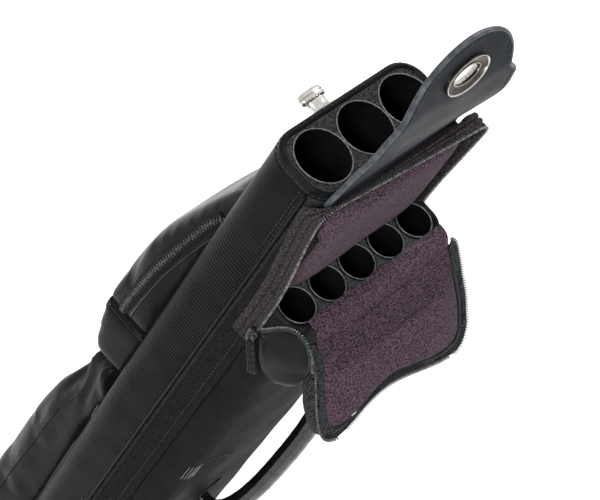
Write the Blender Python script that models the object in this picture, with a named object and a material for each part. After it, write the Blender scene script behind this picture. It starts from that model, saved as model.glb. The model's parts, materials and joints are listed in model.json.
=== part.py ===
"""Cue case for three butts and five shafts, standing upright on its base, in metres with +Z up.

X runs along the row of butt tubes, +Y faces the turn lock and the pockets, -Y the shaft compartment.
The origin is on the underside of the base, under the middle butt tube. The lid and the flap stand open.
"""

import math

import bmesh
import bpy
from mathutils import Matrix, Vector

# Tubes
BUTT_COUNT = 3
BUTT_BORE = 0.038
BUTT_GAP = 0.0004
SHAFT_COUNT = 5
SHAFT_BORE = 0.0251
SHAFT_GAP = 0.00235
TUBE_WALL = 0.0010
MOUTH_HEIGHT = 0.790
SHAFT_DROP = 0.096
BUTT_PAD = 0.035
SHAFT_PAD = 0.010

# Case walls
CLEAR = 0.0003
LINING_GAP = 0.0026
SHELL_WALL = 0.0030
SHELL_CORNER = 0.018
BACK_SEAM_INSET = 0.0010
FRONT_SEAM_ANGLE = 17.5
BASE_PAD = 0.003
BASE_CAP = 0.012
BASE_CORNER = 0.018
RIM_RISE = 0.0010
RIM_DEPTH = 0.008
RIM_WIDTH = 0.0046
DECK_RECESS = 0.004
DECK_THICKNESS = 0.005
RIM_ROUNDING = 0.0010
PIPING_RADIUS = 0.0014

# Shaft compartment
SHAFT_ROW_GAP = 0.00855
COMPARTMENT_WALL = 0.0024
COMPARTMENT_CORNER = 0.012
SIDE_MARGIN = 0.0067
ZIP_BAND_GAP = 0.0094
ZIP_BAND_WIDTH = 0.0055
ZIP_BELOW_MOUTH = 0.045
PAD_FACE_PROUD = 0.0036
PAD_ROUNDING = 0.0020
PANEL_TOP_RISE = 0.0070
PANEL_TOP_CORNER = 0.014
GUSSET_TOP_REACH = 0.010
GUSSET_SEAM_ANGLE = 36.0

# Lid, measured along the leather from the hinge
LEATHER = 0.0026
LID_SIDE_INSET = 0.006
LID_HINGE_RISE = 0.0032
LID_STRIP = 0.025
LID_PANEL_SHORT = 0.0002
TONGUE_TO_CREASE = 0.030
TONGUE_END = 0.036
CREASE_TO_EYELET = 0.014
TONGUE_INSET = 0.013
TONGUE_NOTCH = 0.002
TONGUE_LOBE = ((0.0, 0.012), (0.003, 0.020), (0.008, 0.026))
TONGUE_SHOULDER = 0.005
LID_REST = 100.0
LID_CLOSED = 22.0
FOLD_REST = 12.0
FOLD_CLOSED = 87.0
CREASE_BEND = 25.0

# Turn lock and eyelet
EYELET_HALF = (0.020, 0.012)
SLOT_HALF = (0.0118, 0.0058)
EYELET_THICKNESS = 0.0016
LOCK_BASE_HALF = (0.015, 0.010)
LOCK_BASE_THICKNESS = 0.003
LOCK_BOSS_HALF = (0.008, 0.0042)
LOCK_BOSS_SINK = 0.001
KNOB_HALF = (0.0105, 0.0046)
KNOB_THICKNESS = 0.0080
KNOB_ROUNDING = 0.0015
KNOB_GAP = 0.0010
WASHER_RADIUS = 0.0055
WASHER_THICKNESS = 0.0012

# Shaft flap
FLAP_SIDE_INSET = 0.00215
FLAP_END_GAP = 0.006
FLAP_THICKNESS = 0.013
FLAP_LINING = 0.0020
FLAP_TAPER_START = 0.007
FLAP_TAPER_END = 0.028
FLAP_CORNER = 0.012
FLAP_HOLLOW = 0.008
FLAP_ROUNDING = 0.0020
FLAP_HANG = 46.7
FLAP_AXIS_OUT = 0.0007
FLAP_ZIP_WIDTH = 0.005
FLAP_ZIP_THICKNESS = 0.003

# Zip sliders and pulls
SLIDER_SIZE = (0.0040, 0.0075, 0.0120)
SLIDER_CORNER = 0.0020
SLIDER_ROUNDING = 0.0008
SLIDER_RISE = 0.009
PULL_SIZE = (0.0022, 0.0090, 0.0300)
PULL_CORNER = 0.0030
PULL_ROUNDING = 0.0005
PULL_LEAN = 4.0
PULL_SLANT = 36.0
PULL_EYE = 0.0016

# Handle
HANDLE_TOP_DROP = 0.195
HANDLE_LENGTH = 0.240
HANDLE_RADIUS = 0.0075
HANDLE_STAND_OFF = 0.024
HANDLE_STUB = 0.004
HANDLE_TAB = (0.030, 0.0027, 0.046)
HANDLE_TAB_CORNER = 0.008
HANDLE_TAB_ROUNDING = 0.0008

# Pockets, measured down from the butt mouths, with each profile as (drop from the pocket's top, depth)
UPPER_POCKET_TOP = 0.090
UPPER_POCKET_PROFILE = (
    (0.0, 0.004), (0.029, 0.015), (0.067, 0.027), (0.103, 0.0375), (0.143, 0.041), (0.190, 0.044)
)
UPPER_CAP_PROFILE = ((0.190, 0.044), (0.220, 0.0385), (0.246, 0.032))
LOWER_POCKET_TOP = 0.340
LOWER_POCKET_PROFILE = (
    (0.0, 0.023), (0.053, 0.028), (0.085, 0.0386), (0.127, 0.0435), (0.174, 0.047), (0.235, 0.050)
)
LOWER_POCKET_HEIGHT = 0.075
LOWER_FOOT_PROFILE = ((0.050, 0.048), (0.0, 0.030))
UPPER_ROUNDING = 0.0027
LOWER_ROUNDING = 0.0054
POCKET_ZIP = (0.0016, 0.008)
UPPER_ZIP_DROPS = (0.130, 0.276)
UPPER_ZIP_DEPTHS = (0.0096, 0.0277)
LOWER_ZIP_START = 0.090
LOWER_ZIP_END = 0.030
LOWER_ZIP_DEPTH = 0.024

# Sizes that follow from the driving dimensions
BUTT_RADIUS = BUTT_BORE / 2
SHAFT_RADIUS = SHAFT_BORE / 2
BUTT_OUTER = BUTT_RADIUS + TUBE_WALL
SHAFT_OUTER = SHAFT_RADIUS + TUBE_WALL
BUTT_PITCH = 2 * BUTT_OUTER + BUTT_GAP
SHAFT_PITCH = 2 * SHAFT_OUTER + SHAFT_GAP
BUTT_X = [(i - (BUTT_COUNT - 1) / 2) * BUTT_PITCH for i in range(BUTT_COUNT)]
SHAFT_X = [(i - (SHAFT_COUNT - 1) / 2) * SHAFT_PITCH for i in range(SHAFT_COUNT)]
SHELL_X = BUTT_X[-1] + BUTT_OUTER + LINING_GAP + SHELL_WALL
SHELL_Y = BUTT_OUTER + LINING_GAP + SHELL_WALL
BACK_SEAM_HALF = SHELL_X - SHELL_CORNER - BACK_SEAM_INSET
POCKET_HALF_WIDTH = BACK_SEAM_HALF
SHAFT_ROW_Y = -SHELL_Y - SHAFT_ROW_GAP - SHAFT_OUTER
ZIP_BAND_BACK = -SHELL_Y - ZIP_BAND_GAP
ZIP_BAND_FRONT = ZIP_BAND_BACK - ZIP_BAND_WIDTH
PANEL_FACE_Y = ZIP_BAND_BACK - PAD_FACE_PROUD
FRONT_INNER_Y = SHAFT_ROW_Y - SHAFT_OUTER - CLEAR
FRONT_Y = FRONT_INNER_Y - COMPARTMENT_WALL
SIDE_INNER_X = max(SHAFT_X[-1] + SHAFT_OUTER + CLEAR, SHELL_X + SIDE_MARGIN)
SIDE_X = SIDE_INNER_X + COMPARTMENT_WALL
FLOOR_Z = BASE_PAD + BASE_CAP + 2 * CLEAR
SHAFT_MOUTH = MOUTH_HEIGHT - SHAFT_DROP
RIM_TOP = MOUTH_HEIGHT + RIM_RISE
RIM_BOTTOM = RIM_TOP - RIM_DEPTH
ZIP_BOTTOM = SHAFT_MOUTH - ZIP_BELOW_MOUTH
PANEL_TOP = MOUTH_HEIGHT + PANEL_TOP_RISE
STRIP_BACK_Y = -SHELL_Y - CLEAR
LID_HALF_WIDTH = SHELL_X - LID_SIDE_INSET
LID_PANEL = 2 * SHELL_Y - LID_PANEL_SHORT
TONGUE_HALF_WIDTH = LID_HALF_WIDTH - TONGUE_INSET
HINGE = Vector((0, STRIP_BACK_Y - LEATHER / 2, MOUTH_HEIGHT + LID_HINGE_RISE))
GUSSET_BACK_Y = STRIP_BACK_Y - LEATHER - LEATHER
FLAP_HALF_WIDTH = SIDE_X - FLAP_SIDE_INSET
FLAP_LENGTH = SHAFT_DROP - FLAP_END_GAP
FLAP_AXIS = Vector((0, FRONT_Y - FLAP_AXIS_OUT, SHAFT_MOUTH + FLAP_LINING / 2 + CLEAR))
BACK_FACE_Y = SHELL_Y + CLEAR


def clear_scene():
    for obj in list(bpy.data.objects):
        bpy.data.objects.remove(obj, do_unlink=True)
    for collection in list(bpy.data.collections):
        bpy.data.collections.remove(collection)


def make_collection(name):
    collection = bpy.data.collections.new(name)
    bpy.context.scene.collection.children.link(collection)
    return collection


clear_scene()
CASE = make_collection("cue_case")
CUTTERS = make_collection("cutters")


def make_material(name, color, roughness, metallic=0.0):
    material = bpy.data.materials.new(name)
    material.use_nodes = True
    shader = material.node_tree.nodes["Principled BSDF"]
    shader.inputs["Base Color"].default_value = (*color, 1.0)
    shader.inputs["Roughness"].default_value = roughness
    shader.inputs["Metallic"].default_value = metallic
    return material


LEATHER_BLACK = make_material("black_leather", (0.012, 0.013, 0.014), 0.38)
LEATHER_GREY = make_material("slate_leather", (0.060, 0.066, 0.074), 0.5)
TUBE_PLASTIC = make_material("tube_plastic", (0.010, 0.010, 0.011), 0.45)
FELT = make_material("felt", (0.040, 0.042, 0.044), 0.95)
FOAM = make_material("foam", (0.020, 0.020, 0.021), 0.95)
PLUM = make_material("plum_lining", (0.070, 0.046, 0.062), 0.9)
NYLON = make_material("black_nylon", (0.014, 0.014, 0.015), 0.7)
ZIP_BLACK = make_material("black_zip", (0.020, 0.020, 0.021), 0.4)
NICKEL = make_material("nickel", (0.62, 0.60, 0.56), 0.22, 1.0)
RUBBER = make_material("rubber", (0.012, 0.012, 0.012), 0.8)


def arc(center, radius, start, end, steps):
    """Points on a circular arc, angles in degrees."""
    angles = [math.radians(start + (end - start) * i / steps) for i in range(steps + 1)]
    return [(center[0] + radius * math.cos(a), center[1] + radius * math.sin(a)) for a in angles]


def ellipse(half_x, half_y, steps=28, center=(0.0, 0.0)):
    angles = [2 * math.pi * i / steps for i in range(steps)]
    return [(center[0] + half_x * math.cos(a), center[1] + half_y * math.sin(a)) for a in angles]


def rounded_rect(low, high, radius, steps=8):
    points = arc((high[0] - radius, high[1] - radius), radius, 0, 90, steps)
    points += arc((low[0] + radius, high[1] - radius), radius, 90, 180, steps)
    points += arc((low[0] + radius, low[1] + radius), radius, 180, 270, steps)
    points += arc((high[0] - radius, low[1] + radius), radius, 270, 360, steps)
    return points


def mirrored(points):
    """The same outline on the other side of X = 0."""
    return [(-x, y) for x, y in reversed(points)]


AXES = {
    "Z": Matrix.Identity(3),
    "X": Matrix(((0, 0, 1), (1, 0, 0), (0, 1, 0))),
    "Y": Matrix(((1, 0, 0), (0, 0, -1), (0, 1, 0))),
}


def add(name, mesh, material, pivot=None):
    """One named piece. A moving piece hangs on an empty that sits on its joint's axis."""
    mesh.materials.clear()
    mesh.materials.append(material)
    obj = bpy.data.objects.new(name, mesh)
    CASE.objects.link(obj)
    if pivot is not None:
        obj.parent = pivot
        obj.matrix_parent_inverse = Matrix.Translation(pivot.location).inverted()
    return obj


def make_pivot(name, location):
    pivot = bpy.data.objects.new(name, None)
    pivot.location = location
    CASE.objects.link(pivot)
    return pivot


def curve_to_mesh(curve):
    """The curve's solid as a welded mesh facing out."""
    holder = bpy.data.objects.new("curve", curve)
    CUTTERS.objects.link(holder)
    evaluated = holder.evaluated_get(bpy.context.evaluated_depsgraph_get())
    mesh = bpy.data.meshes.new_from_object(evaluated)
    bpy.data.objects.remove(holder)
    solid = bmesh.new()
    solid.from_mesh(mesh)
    bmesh.ops.remove_doubles(solid, verts=solid.verts, dist=1e-6)
    bmesh.ops.recalc_face_normals(solid, faces=solid.faces)
    solid.to_mesh(mesh)
    solid.free()
    return mesh


def slab(outlines, low, high, axis="Z", rounding=0.0):
    """A flat outline, with holes after the first, from low to high along one axis."""
    curve = bpy.data.curves.new("outline", "CURVE")
    curve.dimensions = "2D"
    curve.fill_mode = "BOTH"
    curve.extrude = (high - low) / 2
    for outline in outlines:
        spline = curve.splines.new("POLY")
        spline.points.add(len(outline) - 1)
        for point, (x, y) in zip(spline.points, outline):
            point.co = (x, y, 0, 1)
        spline.use_cyclic_u = True
    mesh = curve_to_mesh(curve)
    side = -1 if axis == "Y" else 1
    mesh.transform(Matrix.Translation((0, 0, side * (low + high) / 2)))
    mesh.transform(AXES[axis].to_4x4())
    if rounding:
        round_edges(mesh, rounding)
    return mesh


def round_edges(mesh, width, sharp=40.0, segments=2):
    """Rounds the edges that turn by more than the sharp angle."""
    solid = bmesh.new()
    solid.from_mesh(mesh)
    bmesh.ops.dissolve_limit(
        solid, angle_limit=math.radians(1), verts=solid.verts, edges=solid.edges
    )
    edges = [e for e in solid.edges if e.calc_face_angle(0) > math.radians(sharp)]
    bmesh.ops.bevel(
        solid, geom=edges, offset=width, segments=segments, profile=0.5, affect="EDGES", clamp_overlap=True
    )
    solid.to_mesh(mesh)
    solid.free()


def wall_outline(path, thickness):
    """A path thickened by half on each side."""
    left = []
    right = []
    for i, point in enumerate(path):
        before = Vector(path[max(i - 1, 0)])
        after = Vector(path[min(i + 1, len(path) - 1)])
        along = (after - before).normalized()
        across = Vector((-along.y, along.x)) * thickness / 2
        left.append(tuple(Vector(point) + across))
        right.append(tuple(Vector(point) - across))
    return left + right[::-1]


def direction(angle):
    """Unit vector in the YZ plane, angle in degrees up from +Y."""
    return Vector((0, math.cos(math.radians(angle)), math.sin(math.radians(angle))))


def sheet_frame(origin, along, normal):
    """Takes (x, distance along, height) on a sheet to the object's own frame."""
    return Matrix((
        (1, 0, 0, origin.x),
        (0, along.y, normal.y, origin.y),
        (0, along.z, normal.z, origin.z),
        (0, 0, 0, 1),
    ))


def apply_boolean(mesh, cutter_mesh, operation):
    target = bpy.data.objects.new("target", mesh)
    cutter = bpy.data.objects.new("cutter", cutter_mesh)
    for obj in (target, cutter):
        CUTTERS.objects.link(obj)
        obj.hide_render = True
        obj.display_type = "WIRE"
    modifier = target.modifiers.new("cut", "BOOLEAN")
    modifier.operation = operation
    modifier.object = cutter
    evaluated = target.evaluated_get(bpy.context.evaluated_depsgraph_get())
    result = bpy.data.meshes.new_from_object(evaluated)
    bpy.data.objects.remove(target)
    bpy.data.objects.remove(cutter)
    return result


def smooth(obj, angle=35.0):
    obj.data.shade_smooth()
    obj.data.set_sharp_from_angle(angle=math.radians(angle))


def build_base():
    """Rubber pad and stiff cap under both compartments."""
    low = (-SIDE_X, FRONT_Y)
    high = (SIDE_X, SHELL_Y)
    pad = rounded_rect(low, high, BASE_CORNER)
    add("base_pad", slab([pad], 0, BASE_PAD), RUBBER)
    add("base_cap", slab([pad], BASE_PAD + CLEAR, FLOOR_Z - CLEAR), LEATHER_BLACK)


def build_tubes(label, xs, y, bore, outer, mouth, pad_height, steps):
    """A row of tubes on the base cap, each with a soft pad at its bottom."""
    for number, x in enumerate(xs, 1):
        rings = [ellipse(outer, outer, steps, (x, y)), ellipse(bore, bore, steps, (x, y))]
        smooth(add(f"{label}_tube_{number}", slab(rings, FLOOR_Z, mouth), TUBE_PLASTIC))
        disc = ellipse(bore - CLEAR, bore - CLEAR, steps, (x, y))
        add(f"{label}_pad_{number}", slab([disc], FLOOR_Z, FLOOR_Z + pad_height), FOAM)


def build_decks():
    """Felt deck between the butt mouths and foam deck round the shaft mouths."""
    gap = SHELL_WALL + CLEAR
    washer_room = WASHER_THICKNESS + 2 * CLEAR
    low = (-SHELL_X + gap, -SHELL_Y + gap)
    high = (SHELL_X - gap, SHELL_Y - gap - washer_room)
    outline = rounded_rect(low, high, SHELL_CORNER - gap)
    hole = BUTT_OUTER + CLEAR / 2
    holes = [ellipse(hole, hole, 32, (x, 0)) for x in BUTT_X]
    top = RIM_BOTTOM - CLEAR
    add("butt_deck", slab([outline] + holes, top - DECK_THICKNESS, top), FELT)
    low = (-SIDE_INNER_X + CLEAR, FRONT_INNER_Y + CLEAR)
    high = (SIDE_INNER_X - CLEAR, GUSSET_BACK_Y)
    hole = SHAFT_OUTER + CLEAR / 2
    holes = [ellipse(hole, hole, 24, (x, SHAFT_ROW_Y)) for x in SHAFT_X]
    outline = rounded_rect(low, high, COMPARTMENT_CORNER - COMPARTMENT_WALL)
    top = SHAFT_MOUTH - DECK_RECESS
    add("shaft_deck", slab([outline] + holes, top - DECK_THICKNESS, top), FOAM)


def shell_pair(center, angle):
    """Outer and inner point of the case wall at one corner angle."""
    outer = arc(center, SHELL_CORNER, angle, angle, 1)[0]
    inner = arc(center, SHELL_CORNER - SHELL_WALL, angle, angle, 1)[0]
    return outer, inner


def shell_strip(pairs):
    return [outer for outer, inner in pairs] + [inner for outer, inner in reversed(pairs)]


def build_shell():
    """Four leather-covered walls round the butt tubes, split at their seams."""
    low = FLOOR_Z
    high = RIM_BOTTOM - CLEAR
    back_corner = (-SHELL_X + SHELL_CORNER, SHELL_Y - SHELL_CORNER)
    front_corner = (-SHELL_X + SHELL_CORNER, -SHELL_Y + SHELL_CORNER)
    gap_angle = math.degrees(CLEAR / SHELL_CORNER)
    seam = 180 + FRONT_SEAM_ANGLE
    steps = 8
    side = [((-BACK_SEAM_HALF, SHELL_Y), (-BACK_SEAM_HALF, SHELL_Y - SHELL_WALL))]
    side += [shell_pair(back_corner, 90 + 90 * i / steps) for i in range(steps + 1)]
    side += [shell_pair(front_corner, 180 + FRONT_SEAM_ANGLE * i / 3) for i in range(4)]
    outline = shell_strip(side)
    add("ribbed_side_panel", slab([outline], low, high), LEATHER_BLACK)
    add("far_side_panel", slab([mirrored(outline)], low, high), LEATHER_BLACK)
    half = BACK_SEAM_HALF - CLEAR
    back = [(-half, SHELL_Y - SHELL_WALL), (half, SHELL_Y - SHELL_WALL), (half, SHELL_Y), (-half, SHELL_Y)]
    add("back_panel", slab([back], low, high), LEATHER_BLACK)
    start = seam + gap_angle
    front = [shell_pair(front_corner, start + (270 - start) * i / steps) for i in range(steps + 1)]
    front += [((-x, y), (-u, v)) for (x, y), (u, v) in reversed(front)]
    add("divider_wall", slab([shell_strip(front)], low, high), NYLON)
    ring = SHELL_CORNER - RIM_WIDTH
    outer = rounded_rect((-SHELL_X, -SHELL_Y), (SHELL_X, SHELL_Y), SHELL_CORNER)
    inner = rounded_rect(
        (-SHELL_X + RIM_WIDTH, -SHELL_Y + RIM_WIDTH), (SHELL_X - RIM_WIDTH, SHELL_Y - RIM_WIDTH), ring
    )
    add("top_rim", slab([outer, inner], RIM_BOTTOM, RIM_TOP, rounding=RIM_ROUNDING), LEATHER_BLACK)
    cord = SHELL_CORNER + PIPING_RADIUS + CLEAR
    center = arc(front_corner, cord, seam, seam, 1)[0]
    for name, sign in (("ribbed_side_piping", 1), ("far_side_piping", -1)):
        circle = ellipse(PIPING_RADIUS, PIPING_RADIUS, 8, (sign * center[0], center[1]))
        add(name, slab([circle], low, high), LEATHER_BLACK)


def u_band(half_width, top, bottom, corner, thickness):
    """An upside-down U in the XZ plane, rounded at its two top corners."""
    outer = arc((half_width - corner, top - corner), corner, 0, 90, 8)
    outer += arc((-half_width + corner, top - corner), corner, 90, 180, 8)
    inner = arc((-half_width + corner, top - corner), corner - thickness, 180, 90, 8)
    inner += arc((half_width - corner, top - corner), corner - thickness, 90, 0, 8)
    outer = [(half_width, bottom)] + outer + [(-half_width, bottom)]
    inside = half_width - thickness
    return outer + [(-inside, bottom)] + inner + [(inside, bottom)]


def build_compartment():
    """Walls of the shaft compartment, its zip band and the padded panel behind the shafts."""
    corner = (-SIDE_X + COMPARTMENT_CORNER, FRONT_Y + COMPARTMENT_CORNER)
    middle = COMPARTMENT_CORNER - COMPARTMENT_WALL / 2
    half = [(-SIDE_X + COMPARTMENT_WALL / 2, ZIP_BAND_FRONT - CLEAR)]
    half += arc(corner, middle, 180, 270, 6)
    path = half + mirrored(half)
    outline = wall_outline(path, COMPARTMENT_WALL)
    add("shaft_front_panel", slab([outline], FLOOR_Z, SHAFT_MOUTH - CLEAR), LEATHER_BLACK)
    band = [
        (-SIDE_X, ZIP_BAND_FRONT), (-SIDE_INNER_X, ZIP_BAND_FRONT),
        (-SIDE_INNER_X, ZIP_BAND_BACK), (-SIDE_X, ZIP_BAND_BACK),
    ]
    for name, shape in (("ribbed_side_seam_band", band), ("far_side_seam_band", mirrored(band))):
        add(name, slab([shape], FLOOR_Z, ZIP_BOTTOM - CLEAR), LEATHER_BLACK)
    tape = u_band(SIDE_X, PANEL_TOP, ZIP_BOTTOM, PANEL_TOP_CORNER, COMPARTMENT_WALL)
    add("fixed_zip", slab([tape], ZIP_BAND_FRONT, ZIP_BAND_BACK, "Y"), ZIP_BLACK)
    outline = gusset_outline()
    top = PANEL_TOP - PANEL_TOP_CORNER - GUSSET_TOP_REACH
    for name, shape in (("ribbed_side_gusset", outline), ("far_side_gusset", mirrored(outline))):
        add(name, slab([shape], FLOOR_Z, top - CLEAR), NYLON)
    cover = u_band(SIDE_X, PANEL_TOP, top, PANEL_TOP_CORNER, COMPARTMENT_WALL)
    add("top_gusset", slab([cover], ZIP_BAND_BACK + CLEAR, GUSSET_BACK_Y, "Y"), NYLON)
    inset = COMPARTMENT_WALL + CLEAR
    low = (-SIDE_X + inset, SHAFT_MOUTH + RIM_RISE)
    high = (SIDE_X - inset, PANEL_TOP - inset)
    pad = rounded_rect(low, high, PANEL_TOP_CORNER - inset)
    back = STRIP_BACK_Y - LEATHER - CLEAR
    add("shaft_back_pad", slab([pad], PANEL_FACE_Y, back, "Y", rounding=PAD_ROUNDING), PLUM)


def gusset_outline():
    """Plan of the gusset that runs from the zip band back to the case wall."""
    inner = COMPARTMENT_WALL / 2
    front_corner = Vector((-SHELL_X + SHELL_CORNER, -SHELL_Y + SHELL_CORNER))
    start = Vector((-SIDE_X + inner, ZIP_BAND_BACK + CLEAR))
    reach = SHELL_CORNER + CLEAR + CLEAR
    seam = 180 + GUSSET_SEAM_ANGLE
    end = Vector(arc(front_corner, reach, seam, seam, 1)[0])
    bend = Vector((start.x, end.y - inner))
    steps = 8
    path = []
    for i in range(steps + 1):
        t = i / steps
        path.append(tuple(start * (1 - t) ** 2 + bend * 2 * t * (1 - t) + end * t ** 2))
    return wall_outline(path, COMPARTMENT_WALL)


def round_hinge_edge(mesh, radius):
    """Rounds the sheet's edge at its hinge so that it turns about its own axis."""
    solid = bmesh.new()
    solid.from_mesh(mesh)
    bmesh.ops.dissolve_limit(solid, angle_limit=math.radians(1), verts=solid.verts, edges=solid.edges)
    limit = -radius + 1e-5
    edges = [e for e in solid.edges if all(v.co.y < limit for v in e.verts)]
    edges = [e for e in edges if abs(e.verts[0].co.x - e.verts[1].co.x) > radius]
    bmesh.ops.bevel(solid, geom=edges, offset=radius * 0.98, segments=3, profile=0.5, affect="EDGES")
    solid.to_mesh(mesh)
    solid.free()


def bend_sheet(mesh, at, angle):
    """Bends a sheet, held in (x, along, height), across the line along = at."""
    solid = bmesh.new()
    solid.from_mesh(mesh)
    geometry = solid.verts[:] + solid.edges[:] + solid.faces[:]
    bmesh.ops.bisect_plane(solid, geom=geometry, dist=1e-7, plane_co=(0, at, 0), plane_no=(0, 1, 0))
    turn = math.radians(angle)
    for vert in solid.verts:
        past = vert.co.y - at
        height = vert.co.z
        if abs(past) < 1e-6:
            vert.co.y = at + height * math.tan(turn / 2)
        elif past > 0:
            vert.co.y = at + past * math.cos(turn) + height * math.sin(turn)
            vert.co.z = height * math.cos(turn) - past * math.sin(turn)
    solid.to_mesh(mesh)
    solid.free()


def lid_frames():
    """Frames of the lid panel, of the tongue and of its end beyond the crease, as they stand open."""
    panel = direction(LID_REST)
    fold = HINGE + panel * LID_PANEL
    tongue = direction(LID_REST - FOLD_REST)
    crease = fold + tongue * TONGUE_TO_CREASE
    end = direction(LID_REST - FOLD_REST - CREASE_BEND)
    return [
        sheet_frame(HINGE, panel, direction(LID_REST + 90)),
        sheet_frame(fold, tongue, direction(LID_REST - FOLD_REST + 90)),
        sheet_frame(crease, end, direction(LID_REST - FOLD_REST - CREASE_BEND + 90)),
    ]


def tongue_outline():
    """Rounded lobes below the crease, a notch at it, and a broad round end."""
    right = [(LID_HALF_WIDTH, -LEATHER / 2)]
    right += [(LID_HALF_WIDTH - inset, along) for inset, along in TONGUE_LOBE]
    right.append((TONGUE_HALF_WIDTH - TONGUE_NOTCH, TONGUE_TO_CREASE))
    steps = 14
    rise = TONGUE_END - TONGUE_SHOULDER
    for i in range(steps + 1):
        a = math.pi / 2 * i / steps
        x = TONGUE_HALF_WIDTH * math.cos(a) ** 0.8
        right.append((x, TONGUE_TO_CREASE + TONGUE_SHOULDER + rise * math.sin(a) ** 0.9))
    right[-1] = (0.0, TONGUE_TO_CREASE + TONGUE_END)
    return right + [(-x, y) for x, y in reversed(right[:-1])]


def build_lid():
    """Hinge strip on the case, lid panel, and the tongue with its eyelet."""
    half = LEATHER / 2
    strip_top = HINGE.z - half - CLEAR
    strip = [
        (-LID_HALF_WIDTH, MOUTH_HEIGHT - LID_STRIP), (LID_HALF_WIDTH, MOUTH_HEIGHT - LID_STRIP),
        (LID_HALF_WIDTH, strip_top), (-LID_HALF_WIDTH, strip_top),
    ]
    add("lid_hinge_strip", slab([strip], STRIP_BACK_Y - LEATHER, STRIP_BACK_Y, "Y"), LEATHER_GREY)
    frames = lid_frames()
    hinge = make_pivot("lid_hinge_pivot", HINGE)
    fold = make_pivot("lid_fold_pivot", frames[1].translation)
    end = LID_PANEL - half - CLEAR
    panel = [(-LID_HALF_WIDTH, -half), (LID_HALF_WIDTH, -half), (LID_HALF_WIDTH, end), (-LID_HALF_WIDTH, end)]
    mesh = slab([panel], -half, half)
    round_hinge_edge(mesh, half)
    mesh.transform(frames[0])
    add("lid_panel", mesh, LEATHER_GREY, hinge)
    slot_center = (0, TONGUE_TO_CREASE + CREASE_TO_EYELET)
    hole = ellipse(SLOT_HALF[0] + CLEAR, SLOT_HALF[1] + CLEAR, 24, slot_center)
    mesh = slab([tongue_outline(), hole], -half, half)
    round_hinge_edge(mesh, half)
    bend_sheet(mesh, TONGUE_TO_CREASE, CREASE_BEND)
    mesh.transform(frames[1])
    add("lid_tongue", mesh, LEATHER_GREY, fold)
    plate_low = half + CLEAR
    rings = [ellipse(*EYELET_HALF, 32, (0, CREASE_TO_EYELET)), ellipse(*SLOT_HALF, 24, (0, CREASE_TO_EYELET))]
    for name, low in (("eyelet_plate", plate_low), ("eyelet_back_plate", -plate_low - EYELET_THICKNESS)):
        mesh = slab(rings, low, low + EYELET_THICKNESS)
        mesh.transform(frames[2])
        add(name, mesh, NICKEL, fold)


def lock_height():
    """Height of the eyelet, and so of the lock, when the lid is shut."""
    shut = HINGE + direction(LID_CLOSED) * LID_PANEL
    shut += direction(LID_CLOSED - FOLD_CLOSED) * TONGUE_TO_CREASE
    return shut + direction(LID_CLOSED - FOLD_CLOSED - CREASE_BEND) * CREASE_TO_EYELET


def build_lock():
    """Oval base and boss on the back panel, the turning knob and the washer behind the panel."""
    shut = lock_height()
    base_top = BACK_FACE_Y + LOCK_BASE_THICKNESS
    knob_low = shut.y + LEATHER / 2 + CLEAR + EYELET_THICKNESS + KNOB_GAP
    base = slab([ellipse(*LOCK_BASE_HALF, 28, (0, shut.z))], BACK_FACE_Y, base_top, "Y")
    boss = slab([ellipse(*LOCK_BOSS_HALF, 24, (0, shut.z))], base_top - LOCK_BOSS_SINK, knob_low - CLEAR, "Y")
    add("lock_base", apply_boolean(base, boss, "UNION"), NICKEL)
    pivot = make_pivot("lock_knob_pivot", (0, knob_low, shut.z))
    outline = ellipse(*KNOB_HALF, 28, (0, shut.z))
    knob = slab([outline], knob_low, knob_low + KNOB_THICKNESS, "Y", rounding=KNOB_ROUNDING)
    add("lock_knob", knob, NICKEL, pivot)
    inside = SHELL_Y - SHELL_WALL - CLEAR
    washer = ellipse(WASHER_RADIUS, WASHER_RADIUS, 20, (0, shut.z))
    add("lock_washer", slab([washer], inside - WASHER_THICKNESS, inside, "Y"), NICKEL)


def flap_frame():
    """Frame of the hanging flap, with heights counted from its lining towards its leather."""
    return sheet_frame(FLAP_AXIS, direction(180 + FLAP_HANG), direction(270 + FLAP_HANG))


def flap_outline(start, inset):
    """Flap seen square on, with a hollow end between two round corners."""
    half = FLAP_HALF_WIDTH - inset
    end = FLAP_LENGTH - inset
    corner = FLAP_CORNER - inset / 2
    points = [(-half, start), (half, start)]
    points += arc((half - corner, end - corner), corner, 0, 80, 5)
    steps = 8
    reach = half - corner
    for i in range(1, steps):
        x = reach * (1 - 2 * i / steps)
        points.append((x, end - FLAP_HOLLOW * math.cos(math.pi / 2 * x / reach) ** 1.5))
    points += arc((-half + corner, end - corner), corner, 100, 180, 5)
    return points


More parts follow.
